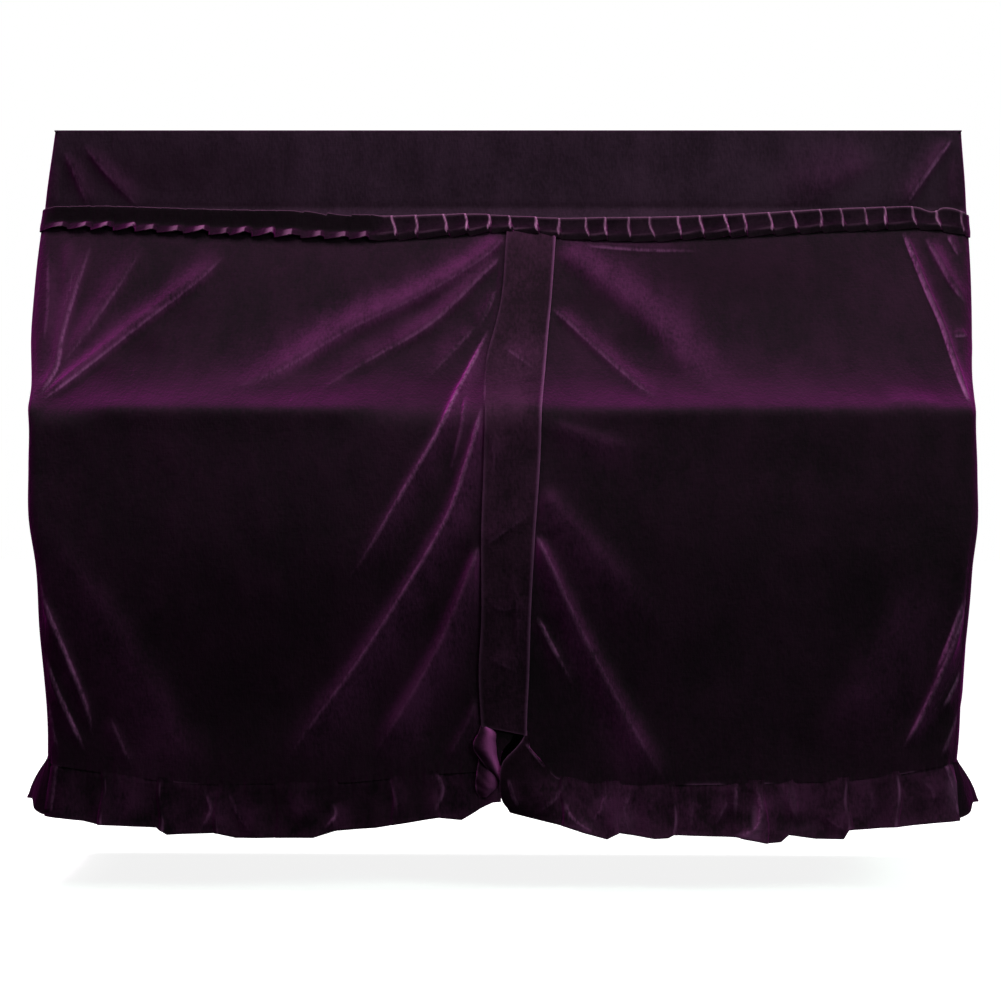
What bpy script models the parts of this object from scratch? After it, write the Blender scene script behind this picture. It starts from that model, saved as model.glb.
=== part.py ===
"""Fitted velvet cover for an upright piano, in the shape in which it hangs on the instrument.

The piano is left out, so the cover is a hollow shell, open below and at the parting in front.
The origin is the middle of the underside of the top panel, where the piano's lid holds it up.
+X is to the right for someone at the keyboard, who looks along +Y, and +Z is up. Metres.

Every wall is a grid of points, each given by its place along the wall (x on the front and back,
y on the sides) and its height z. A wall's inner face has no thickness of its own: Solidify adds
the cloth on the outside.
"""
from collections import namedtuple
from math import pi

import bmesh
import bpy
import numpy as np

# ---- driving dimensions -------------------------------------------------------------------------
LID_WIDTH = 1.500
LID_DEPTH = 0.380
KEYBED_REACH = 0.280        # how far the keyboard stands out in front of the lid
CLOTH = 0.002               # velvet with its backing
TRIM_CLOTH = 0.0015
SEAM = 0.0008               # open width of a seam between two pieces
HEM_SEAM = 0.0010           # the same above the flounce, which tilts outward from its seam
LAP = 0.0038                # height of the placket's inner face over the curtain below it

PLUMB_Z = -0.126            # the front hangs plumb down to here
YOKE_Z = -0.140             # about where the yoke ends
RIDGE_Z = -0.4635           # front edge of the closed key lid
KEYBED_BOTTOM_Z = -0.597
HEM_Z = -1.040
HEM_DRIFT = 0.015           # the front wall falls back by this much below the keyboard
TAUT = 0.70                 # share of the way out to the keyboard that runs straight
SWING_POWER = 8             # how late the rest of the way comes
RIDGE_ROUNDING = 0.011
LID_CLEARANCE = 0.002
BACK_Y = LID_DEPTH / 2 + LID_CLEARANCE
EDGE_FADE = 0.020           # folds die out this close to a corner seam

Station = namedtuple("Station", "z left right radius")
FRONT_CORNERS = (           # half-widths of the front wall's outer face, and the corners' radius
    Station(0.000, 0.747, 0.753, 0.008),
    Station(-0.140, 0.766, 0.763, 0.012),
    Station(-0.250, 0.773, 0.766, 0.022),
    Station(-0.350, 0.769, 0.761, 0.022),
    Station(-0.420, 0.756, 0.753, 0.018),
    Station(-0.473, 0.748, 0.748, 0.014),
    Station(-0.560, 0.747, 0.749, 0.016),
    Station(-0.640, 0.747, 0.749, 0.022),
    Station(-0.712, 0.737, 0.743, 0.028),
    Station(-0.825, 0.734, 0.737, 0.034),
    Station(-0.901, 0.728, 0.732, 0.034),
    Station(-0.976, 0.723, 0.727, 0.032),
    Station(-1.020, 0.722, 0.722, 0.030),
)
BACK_HALF_WIDTH = 0.750
BACK_TAPER = 0.008          # the back is this much narrower on each side at the hem
BACK_RADIUS = 0.012

TrimLine = namedtuple("TrimLine", "x top bottom")
TRIM_LINES = (              # the pleated strip's edges across the front
    TrimLine(-0.754, -0.131, -0.168),
    TrimLine(-0.590, -0.132, -0.174),
    TrimLine(-0.420, -0.137, -0.181),
    TrimLine(-0.339, -0.138, -0.184),
    TrimLine(-0.256, -0.144, -0.186),
    TrimLine(-0.173, -0.143, -0.183),
    TrimLine(-0.107, -0.141, -0.178),
    TrimLine(0.000, -0.143, -0.170),
    TrimLine(0.090, -0.147, -0.181),
    TrimLine(0.240, -0.145, -0.186),
    TrimLine(0.322, -0.143, -0.181),
    TrimLine(0.421, -0.138, -0.176),
    TrimLine(0.536, -0.131, -0.169),
    TrimLine(0.619, -0.128, -0.166),
    TrimLine(0.690, -0.130, -0.165),
    TrimLine(0.762, -0.139, -0.176),
)
TRIM_ROOT = 0.012           # the yoke's seam lies this far below the strip's upper edge
TRIM_PITCH = 0.0387
TRIM_STAND_TOP = 0.0034     # from the wall's inner face to the strip's
TRIM_STAND_BOTTOM = 0.0070
TRIM_PLEAT_TOP = 0.003
TRIM_PLEAT_BOTTOM = 0.007

Band = namedtuple("Band", "z left right")
PLACKET_EDGES = (
    Band(-0.175, 0.004, 0.084),
    Band(-0.300, -0.006, 0.076),
    Band(-0.335, -0.014, 0.073),
    Band(-0.377, -0.024, 0.070),
    Band(-0.455, -0.024, 0.065),
    Band(-0.560, -0.026, 0.061),
    Band(-0.665, -0.029, 0.054),
    Band(-0.800, -0.029, 0.047),
    Band(-0.880, -0.033, 0.045),
    Band(-0.985, -0.027, 0.043),
    Band(-1.060, -0.020, 0.050),
)
PLACKET_TUCK = 0.008        # the placket runs this far up behind the pleated strip
PLACKET_END_LEFT_Z = -0.966
PLACKET_END_RIGHT_Z = -0.980

Edge = namedtuple("Edge", "z x")
LEFT_CURTAIN_EDGE = (       # below the placket the left curtain's edge comes out from behind it
    Edge(-0.800, 0.044),
    Edge(-0.900, 0.026),
    Edge(-0.950, -0.002),
    Edge(-0.975, -0.006),
    Edge(-1.005, -0.006),
    Edge(-1.060, -0.002),
)
TURN_OUT = 0.020            # that edge turns out by this much at the hem seam
TURN_OUT_WIDTH = 0.030

HemPoint = namedtuple("HemPoint", "x seam bottom")
FRONT_HEM = (               # the flounce's seam and its lower edge across the front
    HemPoint(-0.745, -1.020, -1.105),
    HemPoint(-0.701, -1.031, -1.112),
    HemPoint(-0.609, -1.045, -1.124),
    HemPoint(-0.522, -1.056, -1.138),
    HemPoint(-0.417, -1.060, -1.143),
    HemPoint(-0.294, -1.058, -1.142),
    HemPoint(-0.237, -1.056, -1.130),
    HemPoint(-0.158, -1.048, -1.120),
    HemPoint(-0.095, -1.042, -1.110),
    HemPoint(-0.040, -1.038, -1.099),
    HemPoint(-0.005, -1.044, -1.088),
)
FRONT_HEM_RIGHT = (
    HemPoint(0.042, -1.006, -1.103),
    HemPoint(0.072, -1.034, -1.115),
    HemPoint(0.105, -1.051, -1.123),
    HemPoint(0.150, -1.057, -1.137),
    HemPoint(0.271, -1.058, -1.137),
    HemPoint(0.419, -1.055, -1.147),
    HemPoint(0.460, -1.054, -1.136),
    HemPoint(0.545, -1.050, -1.133),
    HemPoint(0.626, -1.040, -1.121),
    HemPoint(0.709, -1.024, -1.112),
    HemPoint(0.745, -1.020, -1.108),
)
SIDE_SEAM_Z = -1.021
SIDE_HEM_Z = -1.108

# ---- folds --------------------------------------------------------------------------------------
# A fold runs from (a0, z0) to (a1, z1), a being the place along the wall, and bows sideways by
# "bow". It stands "height" proud, with half-widths width0 and width1 at its two ends. It reaches
# its full height after the share "rise" of its length, and starts to fade at the share "hold".
Fold = namedtuple("Fold", "a0 z0 a1 z1 bow height width0 width1 rise hold")
YOKE_FOLDS = (
    Fold(-0.725, -0.020, -0.680, -0.130, 0.004, 0.006, 0.008, 0.014, 0.30, 0.60),
    Fold(-0.690, -0.015, -0.600, -0.130, 0.004, 0.005, 0.008, 0.014, 0.30, 0.60),
    Fold(0.730, -0.012, 0.655, -0.130, 0.004, 0.008, 0.008, 0.014, 0.30, 0.75),
    Fold(0.620, -0.020, 0.440, -0.135, 0.006, 0.005, 0.016, 0.028, 0.40, 0.60),
)
LEFT_CURTAIN_FOLDS = (
    # fanning up from the keyboard's left end
    Fold(-0.735, -0.455, -0.670, -0.175, -0.002, 0.009, 0.010, 0.020, 0.20, 0.60),
    Fold(-0.710, -0.405, -0.580, -0.185, 0.004, 0.008, 0.011, 0.020, 0.25, 0.60),
    Fold(-0.725, -0.460, -0.450, -0.210, -0.004, 0.013, 0.011, 0.028, 0.20, 0.55),
    # fanning down from the parting's upper end
    Fold(0.005, -0.180, -0.425, -0.450, 0.012, 0.011, 0.014, 0.030, 0.15, 0.65),
    Fold(0.000, -0.205, -0.280, -0.450, 0.020, 0.008, 0.012, 0.024, 0.20, 0.60),
    Fold(-0.010, -0.315, -0.205, -0.700, 0.006, 0.011, 0.010, 0.024, 0.20, 0.60),
    Fold(-0.025, -0.400, -0.335, -1.060, 0.050, 0.015, 0.011, 0.036, 0.12, 0.70),
    Fold(-0.030, -0.650, -0.205, -1.060, 0.016, 0.012, 0.010, 0.032, 0.15, 0.75),
    # at the lower left, from the keyboard's end to the hem
    Fold(-0.740, -0.600, -0.650, -1.030, -0.014, 0.010, 0.014, 0.024, 0.30, 0.75),
    Fold(-0.722, -0.820, -0.665, -1.010, 0.000, 0.006, 0.010, 0.016, 0.30, 0.70),
    Fold(-0.640, -0.740, -0.460, -1.070, -0.008, 0.008, 0.036, 0.055, 0.35, 0.80),
)
RIGHT_CURTAIN_FOLDS = (
    # fanning down from the parting's upper end
    Fold(0.098, -0.195, 0.345, -0.460, 0.018, 0.009, 0.026, 0.050, 0.20, 0.60),
    Fold(0.085, -0.295, 0.225, -0.440, 0.004, 0.007, 0.008, 0.018, 0.25, 0.60),
    # down the right end, from the yoke to the keyboard
    Fold(0.662, -0.170, 0.735, -0.458, 0.005, 0.014, 0.012, 0.012, 0.15, 0.80),
    Fold(0.705, -0.175, 0.745, -0.310, 0.006, 0.008, 0.010, 0.010, 0.25, 0.70),
    # below the keyboard, from the placket to the hem
    Fold(0.060, -0.650, 0.265, -1.065, -0.018, 0.012, 0.012, 0.036, 0.15, 0.75),
    Fold(0.066, -0.570, 0.225, -0.810, 0.009, 0.007, 0.024, 0.040, 0.25, 0.60),
    Fold(0.062, -0.800, 0.116, -0.910, -0.002, 0.005, 0.008, 0.014, 0.25, 0.60),
    Fold(0.748, -0.620, 0.610, -1.060, 0.012, 0.012, 0.014, 0.026, 0.25, 0.75),
    Fold(0.730, -0.820, 0.690, -0.960, 0.000, 0.006, 0.008, 0.012, 0.30, 0.70),
    Fold(0.690, -0.730, 0.490, -1.010, 0.010, 0.007, 0.030, 0.042, 0.30, 0.70),
)
PLACKET_FOLDS = (
    Fold(0.000, -0.370, 0.055, -0.398, 0.000, 0.003, 0.010, 0.010, 0.40, 0.60),
    Fold(-0.020, -0.675, 0.040, -0.640, 0.000, 0.003, 0.008, 0.008, 0.40, 0.60),
    Fold(-0.018, -0.868, 0.030, -0.880, 0.000, 0.003, 0.010, 0.010, 0.40, 0.60),
)
SIDE_FOLDS = (
    # fanning from the keyboard's end, up to the lid and back along the side
    Fold(-0.455, -0.470, -0.185, -0.040, 0.012, 0.007, 0.014, 0.024, 0.25, 0.65),
    Fold(-0.450, -0.480, 0.060, -0.160, -0.020, 0.010, 0.014, 0.040, 0.15, 0.55),
    Fold(-0.445, -0.500, 0.110, -0.480, -0.022, 0.008, 0.016, 0.045, 0.20, 0.50),
    # hanging down from it to the hem
    Fold(-0.445, -0.480, -0.380, -1.050, 0.006, 0.008, 0.014, 0.034, 0.15, 0.80),
    Fold(-0.425, -0.510, -0.200, -1.050, 0.020, 0.012, 0.016, 0.045, 0.20, 0.75),
    # hanging from the lid's rear corner
    Fold(0.165, -0.020, 0.060, -0.900, -0.020, 0.007, 0.012, 0.040, 0.20, 0.60),
    Fold(0.000, -0.560, -0.020, -1.060, 0.000, 0.009, 0.030, 0.045, 0.45, 0.85),
)
BACK_FOLDS = (
    Fold(-0.730, -0.015, -0.600, -0.700, 0.015, 0.008, 0.012, 0.040, 0.20, 0.55),
    Fold(-0.340, -0.250, -0.360, -1.060, 0.000, 0.007, 0.040, 0.055, 0.50, 0.85),
    Fold(0.060, -0.350, 0.040, -1.060, 0.000, 0.008, 0.045, 0.060, 0.50, 0.85),
    Fold(0.420, -0.200, 0.400, -1.060, 0.000, 0.006, 0.040, 0.050, 0.50, 0.85),
    Fold(0.730, -0.015, 0.610, -0.650, -0.015, 0.008, 0.012, 0.040, 0.20, 0.55),
)
TROUGH = 0.35               # depth of the hollow below a fold, as a share of the fold's height
SWELL = 0.0025              # slow unevenness of the hanging cloth

# ---- flounce ------------------------------------------------------------------------------------
PLEATS_LEFT = (-0.760, -0.698, -0.624, -0.536, -0.443, -0.353, -0.260, -0.168, -0.100, 0.010)
PLEATS_RIGHT = (0.040, 0.072, 0.161, 0.207, 0.259, 0.345, 0.405, 0.457, 0.545, 0.621, 0.709, 0.775)
PLEAT_PITCH = 0.092         # on the sides and the back
FLARE = 0.014
CORNER_FLARE = 0.012        # more than that at the two front corners
CORNER_FLARE_WIDTH = 0.040
PLEAT_DEPTH = 0.013

Loose = namedtuple("Loose", "share sideways lift out")
LEFT_LOOSE_END = (          # how a flounce's free end at the parting strays, down its height
    Loose(0.00, 0.000, 0.000, 0.000),
    Loose(0.20, 0.004, 0.002, 0.001),
    Loose(0.60, -0.022, -0.006, 0.003),
    Loose(1.00, -0.018, 0.000, 0.000),
)
RIGHT_LOOSE_END = (
    Loose(0.00, -0.002, 0.000, 0.003),
    Loose(0.15, -0.014, 0.012, 0.010),
    Loose(0.30, -0.031, 0.014, 0.014),
    Loose(0.50, -0.039, 0.010, 0.012),
    Loose(0.80, -0.036, 0.000, 0.006),
    Loose(1.00, -0.022, 0.000, 0.000),
)
LOOSE_WIDTH = 0.055

VELVET = (0.030, 0.008, 0.034, 1.0)
VELVET_ROUGHNESS = 0.85
OUTWARD = {"front": 1.0, "right": 1.0, "left": -1.0, "back": -1.0}


# ---- curves -------------------------------------------------------------------------------------
def smooth(share):
    """0 to 1 with level ends, as share goes from 0 to 1."""
    share = np.clip(share, 0.0, 1.0)
    return share * share * (3.0 - 2.0 * share)


def blend(start, end, share):
    return start + (end - start) * share


def column(table, name):
    return np.array([getattr(row, name) for row in table])


def read(table, key, name, at):
    """The smooth curve through a table's column, read at the given values of its key column."""
    keys, values = column(table, key), column(table, name)
    if keys[0] > keys[-1]:
        keys, values = keys[::-1], values[::-1]
    slopes = np.gradient(values, keys)
    at = np.clip(at, keys[0], keys[-1])
    i = np.clip(np.searchsorted(keys, at) - 1, 0, len(keys) - 2)
    step = keys[i + 1] - keys[i]
    t = (at - keys[i]) / step
    ahead = t * t * (3.0 - 2.0 * t)
    start_pull = t * (1.0 - t) ** 2 * step * slopes[i]
    end_pull = t * t * (t - 1.0) * step * slopes[i + 1]
    return blend(values[i], values[i + 1], ahead) + start_pull + end_pull


# ---- the walls ----------------------------------------------------------------------------------
def front_y(z):
    """The front wall: plumb under the lid, swinging out to the keyboard, plumb again below it."""
    fall = np.clip((PLUMB_Z - z) / (PLUMB_Z - RIDGE_Z), 0.0, None)
    swing = KEYBED_REACH * (TAUT * fall + (1.0 - TAUT) * fall ** SWING_POWER)
    drift = HEM_DRIFT * smooth((KEYBED_BOTTOM_Z - z) / (KEYBED_BOTTOM_Z - HEM_Z))
    plumb = KEYBED_REACH + LID_CLEARANCE - drift
    reach = -RIDGE_ROUNDING * np.logaddexp(-swing / RIDGE_ROUNDING, -plumb / RIDGE_ROUNDING)
    return -(LID_DEPTH / 2 + LID_CLEARANCE + reach)


def front_half_widths(z):
    left = read(FRONT_CORNERS, "z", "left", z) - CLOTH
    right = read(FRONT_CORNERS, "z", "right", z) - CLOTH
    return left, right


def front_radius(z):
    return read(FRONT_CORNERS, "z", "radius", z)


def back_half_width(z):
    return BACK_HALF_WIDTH - CLOTH - BACK_TAPER * smooth(z / HEM_Z)


def seams(side, z):
    """Where a wall's two vertical seams lie, in the middle of the rounded corners."""
    front_arc = front_radius(z) * (1.0 - pi / 4)
    back_arc = BACK_RADIUS * (1.0 - pi / 4)
    left, right = front_half_widths(z)
    if side == "front":
        return -left + front_arc, right - front_arc
    if side == "back":
        return -back_half_width(z) + back_arc, back_half_width(z) - back_arc
    return front_y(z) + front_arc, np.full_like(z, BACK_Y - back_arc)


def round_ends(place, low, high, low_radius, high_radius):
    """Bend the ends of a straight wall round its corners: the way along it, and the inset."""
    low_turn = np.clip((low + low_radius - place) / low_radius, 0.0, pi / 2)
    high_turn = np.clip((place - high + high_radius) / high_radius, 0.0, pi / 2)
    along = np.clip(place, low + low_radius, high - high_radius)
    along = along - low_radius * np.sin(low_turn) + high_radius * np.sin(high_turn)
    inset = low_radius * (1 - np.cos(low_turn)) + high_radius * (1 - np.cos(high_turn))
    return along, inset


def wall(side, place, z):
    """A point of a wall before it has any folds."""
    near, far = front_y(z), np.full_like(z, BACK_Y)
    left, right = front_half_widths(z)
    radius, back_radius = front_radius(z), np.full_like(z, BACK_RADIUS)
    if side == "front":
        x, inset = round_ends(place, -left, right, radius, radius)
        y = near + inset
    elif side == "back":
        half = back_half_width(z)
        x, inset = round_ends(place, -half, half, back_radius, back_radius)
        y = far - inset
    else:
        y, inset = round_ends(place, near, far, radius, back_radius)
        x = right - inset if side == "right" else inset - left
    if side != "back":
        front_half = np.where(x > 0, right, left)
        x = x * blend(1.0, back_half_width(z) / front_half, (y - near) / (far - near))
    return np.stack([x, y, z], axis=-1)


def wall_normal(side, place, z):
    """The outward direction at a point of a wall."""
    step = 0.002
    along = wall(side, place + step, z) - wall(side, place - step, z)
    up = wall(side, place, z + step) - wall(side, place, z - step)
    normal = np.cross(along, up) * OUTWARD[side]
    return normal / np.linalg.norm(normal, axis=-1, keepdims=True)


# ---- folds on the walls -------------------------------------------------------------------------
def fold_height(fold, place, z):
    """How far one fold lifts the cloth at each point."""
    steps = 24
    start, end = np.array([fold.a0, fold.z0]), np.array([fold.a1, fold.z1])
    chord = end - start
    sideways = np.array([-chord[1], chord[0]]) / np.hypot(*chord)
    pull = (start + end) / 2 + sideways * 2.0 * fold.bow
    t = np.linspace(0.0, 1.0, steps + 1)[:, None]
    path = (1 - t) ** 2 * start + 2 * t * (1 - t) * pull + t ** 2 * end
    points = np.stack([place, z], axis=-1)
    distance = np.full(len(points), np.inf)
    share = np.zeros(len(points))
    for i in range(steps):
        run = path[i + 1] - path[i]
        way = np.clip((points - path[i]) @ run / (run @ run), 0.0, 1.0)
        off = points - path[i] - way[:, None] * run
        above = np.sign(run[0] * off[:, 1] - run[1] * off[:, 0]) * np.sign(sideways[1] or 1.0)
        away = np.hypot(off[:, 0], off[:, 1])
        nearer = away < np.abs(distance)
        distance = np.where(nearer, away * above, distance)
        share = np.where(nearer, (i + way) / steps, share)
    width = blend(fold.width0, fold.width1, share)
    across = distance / width
    profile = np.exp(-across ** 2) - TROUGH * np.exp(-(across + 1.8) ** 2)
    return fold.height * profile * smooth(share / fold.rise) * smooth((1 - share) / (1 - fold.hold))


def swell(place, z):
    slow = np.sin(5.1 * place + 7.0 * z + 0.7) + np.sin(-3.3 * place + 11.0 * z + 2.1)
    return SWELL * 0.5 * slow


def relief(side, place, z):
    """How far the folds lift the cloth of a wall, outward from its plain shape."""
    if side == "front":
        left_only = smooth((read(PLACKET_EDGES, "z", "left", z) - place) / 0.014)
        right_only = smooth((place - read(PLACKET_EDGES, "z", "right", z)) / 0.014)
        folds = sum(fold_height(f, place, z) for f in LEFT_CURTAIN_FOLDS) * left_only
        folds = folds + sum(fold_height(f, place, z) for f in RIGHT_CURTAIN_FOLDS) * right_only
        folds = folds * smooth((YOKE_Z - z - 0.010) / 0.030)
        on_yoke = smooth((z - YOKE_Z - 0.004) / 0.020)
        folds = folds + sum(fold_height(f, place, z) for f in YOKE_FOLDS) * on_yoke
        slack = smooth(abs(z - RIDGE_Z) / 0.060) * smooth((YOKE_Z - z) / 0.060)
        lifted = folds + swell(place, z) * slack + turned_edge(place, z)
    else:
        table = BACK_FOLDS if side == "back" else SIDE_FOLDS
        shift = 0.010 if side == "right" else 0.0
        lifted = sum(fold_height(f, place - shift, z) for f in table)
        lifted = lifted + swell(place + (0.4 if side == "right" else 0.0), z) * smooth(-z / 0.10)
    low, high = seams(side, z)
    return lifted * smooth((place - low) / EDGE_FADE) * smooth((high - place) / EDGE_FADE)


def turned_edge(place, z):
    """The left curtain's inner edge, turned outward below the placket's end."""
    edge = read(LEFT_CURTAIN_EDGE, "z", "x", z)
    near_edge = np.clip(1.0 - (edge - place) / TURN_OUT_WIDTH, 0.0, 1.0) * (place < edge + 0.004)
    return TURN_OUT * near_edge ** 2 * smooth((PLACKET_END_RIGHT_Z - z) / 0.050)


def hang(side, place, z, lift=0.0, fold_place=None, fold_z=None):
    """A point of the hanging cloth, lifted off the folds of the wall there."""
    fold_place = place if fold_place is None else fold_place
    fold_z = z if fold_z is None else fold_z
    out = relief(side, fold_place, fold_z) + lift
    return wall(side, place, z) + wall_normal(side, place, z) * out[:, None]


# ---- how each piece is laid on its wall ---------------------------------------------------------
def layout(low_edge, high_edge, top_edge, bottom_edge):
    """Spread a piece between four edges: functions of z for the first two, of place for the rest."""
    def spread(u, v):
        z = np.full_like(u, (YOKE_Z + HEM_Z) / 2)
        for _ in range(8):
            place = blend(low_edge(z), high_edge(z), u)
            z = blend(top_edge(place), bottom_edge(place), v)
        return blend(low_edge(z), high_edge(z), u), z
    return spread


def level(height):
    return lambda place: np.full_like(place, height)


def low_seam(side):
    return lambda z: seams(side, z)[0] + SEAM / 2


def high_seam(side):
    return lambda z: seams(side, z)[1] - SEAM / 2


def trim_top(x):
    return read(TRIM_LINES, "x", "top", x)


def trim_bottom(x):
    return read(TRIM_LINES, "x", "bottom", x)


def yoke_seam(x):
    return trim_top(x) - TRIM_ROOT


def placket_left(z):
    return read(PLACKET_EDGES, "z", "left", z)


def placket_right(z):
    return read(PLACKET_EDGES, "z", "right", z)


def left_curtain_edge(z):
    behind = placket_right(z) - SEAM
    strayed = read(LEFT_CURTAIN_EDGE, "z", "x", z)
    return np.where(z > LEFT_CURTAIN_EDGE[0].z, behind, np.minimum(behind, strayed))


def placket_end(x):
    share = (x - placket_left(PLACKET_END_LEFT_Z)) / 0.070
    return blend(PLACKET_END_LEFT_Z, PLACKET_END_RIGHT_Z, np.clip(share, 0.0, 1.0))


def raised_edge(place, z):
    """The right curtain climbs to the placket's height at their common seam."""
    near_placket = smooth(1.0 - (place - placket_right(z)) / 0.040)
    below_strip = smooth((yoke_seam(place) - z) / 0.018)
    above_end = smooth((z - PLACKET_END_RIGHT_Z + 0.030) / 0.030)
    return LAP * near_placket * below_strip * above_end


YOKE = layout(low_seam("front"), high_seam("front"), level(-0.0003),
              lambda x: yoke_seam(x) + SEAM / 2)
LEFT_CURTAIN = layout(low_seam("front"), left_curtain_edge,
                      lambda x: yoke_seam(x) - SEAM / 2,
                      lambda x: read(FRONT_HEM, "x", "seam", x))
RIGHT_CURTAIN = layout(lambda z: placket_right(z) + SEAM / 2, high_seam("front"),
                       lambda x: yoke_seam(x) - SEAM / 2,
                       lambda x: read(FRONT_HEM_RIGHT, "x", "seam", x))
PLACKET = layout(placket_left, lambda z: placket_right(z) - SEAM / 2,
                 lambda x: trim_bottom(x) + PLACKET_TUCK, placket_end)
SIDE = {side: layout(low_seam(side), high_seam(side), level(-0.0003), level(SIDE_SEAM_Z))
        for side in ("left", "right", "back")}


# ---- objects ------------------------------------------------------------------------------------
def clear_scene():
    for item in list(bpy.data.objects):
        bpy.data.objects.remove(item, do_unlink=True)


def material(name):
    velvet = bpy.data.materials.new(name)
    velvet.use_nodes = True
    shader = velvet.node_tree.nodes["Principled BSDF"]
    shader.inputs["Base Color"].default_value = VELVET
    shader.inputs["Roughness"].default_value = VELVET_ROUGHNESS
    shader.inputs["Metallic"].default_value = 0.0
    shader.inputs["Sheen Weight"].default_value = 0.8
    shader.inputs["Sheen Tint"].default_value = (0.55, 0.20, 0.60, 1.0)
    return velvet


def cloth(name, shape, columns, rows, collection, keep=1.0, thickness=CLOTH):
    """A sheet: a grid laid on shape(u, v), thinned where it is plain, then given its thickness.

    u runs from 0 to 1 across the sheet and v from 0 to 1 down it. shape gives each point and the
    direction that is outward there.
    """
    sheet = bmesh.new()
    bmesh.ops.create_grid(sheet, x_segments=columns, y_segments=rows, size=0.5)
    flat = np.array([vertex.co[:2] for vertex in sheet.verts])
    points, outward = shape(flat[:, 0] + 0.5, 0.5 - flat[:, 1])
    for vertex, point in zip(sheet.verts, points):
        vertex.co = point
    sheet.normal_update()
    facing = np.array([vertex.normal[:] for vertex in sheet.verts])
    if (facing * outward).sum() < 0:
        bmesh.ops.reverse_faces(sheet, faces=sheet.faces)
    mesh = bpy.data.meshes.new(name)
    sheet.to_mesh(mesh)
    sheet.free()
    mesh.materials.append(material(name))
    mesh.shade_smooth()
    piece = bpy.data.objects.new(name, mesh)
    collection.objects.link(piece)
    if keep < 1.0:
        thin = piece.modifiers.new("Fewer faces where it is plain", "DECIMATE")
        thin.ratio = keep
    thick = piece.modifiers.new("Cloth", "SOLIDIFY")
    thick.thickness = thickness
    thick.offset = 1.0
    return piece


def on_wall(side, spread, lift=None):
    """The shape of a piece that hangs straight on a wall."""
    def shape(u, v):
        place, z = spread(u, v)
        extra = np.zeros_like(z) if lift is None else lift(place, z)
        return hang(side, place, z, extra), wall_normal(side, place, z)
    return shape


def placket_lift(place, z):
    return LAP + sum(np.maximum(fold_height(f, place, z), 0.0) for f in PLACKET_FOLDS)


def knife(phase):
    """Height across one pleat: a slow rise from its root to its crest, then a sharp drop."""
    return np.where(phase < 0.75, smooth(phase / 0.75), smooth((1.0 - phase) / 0.25))


def trim_shape(side):
    """The pleated strip over the yoke's seam, standing away from the wall towards its free edge."""
    def shape(u, v):
        low, high = seams(side, np.full_like(u, YOKE_Z))
        place = blend(low, high, u)
        corner = {"front": place, "left": TRIM_LINES[0].x, "right": TRIM_LINES[-1].x}[side]
        corner = np.broadcast_to(corner, place.shape)
        z = blend(trim_top(corner), trim_bottom(corner), v)
        phase = ((place - low) / TRIM_PITCH) % 1.0
        ends = smooth((place - low) / 0.012) * smooth((high - place) / 0.012)
        stand = blend(TRIM_STAND_TOP, TRIM_STAND_BOTTOM, v)
        pleat = blend(TRIM_PLEAT_TOP, TRIM_PLEAT_BOTTOM, v) * knife(phase) * ends
        low, high = seams(side, z)
        place = blend(low + SEAM / 2, high - SEAM / 2, u)
        return hang(side, place, z, stand + pleat), wall_normal(side, place, z)
    return shape


def flounce_shape(side, spread, hem, pleats, loose=None, loose_at=0.0):
    """The gathered strip below a wall's hem seam.

    hem gives the height of its lower edge, pleats the places of its folds, and loose how its free
    end strays at the parting, which is at u = loose_at.
    """
    edges = np.array(pleats)

    def shape(u, v):
        v = v ** 1.5            # short rows near the seam, where the flounce starts plumb
        place, seam_z = spread(u, np.ones_like(u))
        z = blend(seam_z - HEM_SEAM, hem(place), v)
        i = np.clip(np.searchsorted(edges, place) - 1, 0, len(edges) - 2)
        phase = (place - edges[i]) / (edges[i + 1] - edges[i])
        low, high = seams(side, seam_z)
        from_low, from_high = place - low, high - place
        ends = smooth(from_low / 0.020) * smooth(from_high / 0.020)
        pleat = PLEAT_DEPTH * v ** 1.2 * knife(phase) * ends
        at_front = from_high if side == "front" and loose_at == 0.0 else from_low
        at_corner = smooth(1.0 - at_front / CORNER_FLARE_WIDTH) if side != "back" else 0.0
        flare = (FLARE + CORNER_FLARE * at_corner) * v ** 1.6
        if loose:
            ends_at = place.min() if loose_at == 0.0 else place.max()
            near_end = 1.0 - np.abs(place - ends_at) / LOOSE_WIDTH
            strayed = place + read(loose, "share", "sideways", v) * smooth(near_end)
            z = z + read(loose, "share", "lift", v) * smooth(1.6 * near_end - 0.6)
            flare = flare + read(loose, "share", "out", v) * smooth(1.6 * near_end)
        else:
            strayed = place
        points = hang(side, strayed, z, flare + pleat, fold_place=place, fold_z=seam_z)
        return points, wall_normal(side, strayed, z)
    return shape


def even_pleats(side):
    low, high = seams(side, np.array([SIDE_SEAM_Z]))
    count = round((high[0] - low[0]) / PLEAT_PITCH)
    return tuple(np.linspace(low[0], high[0], count + 1))


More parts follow.
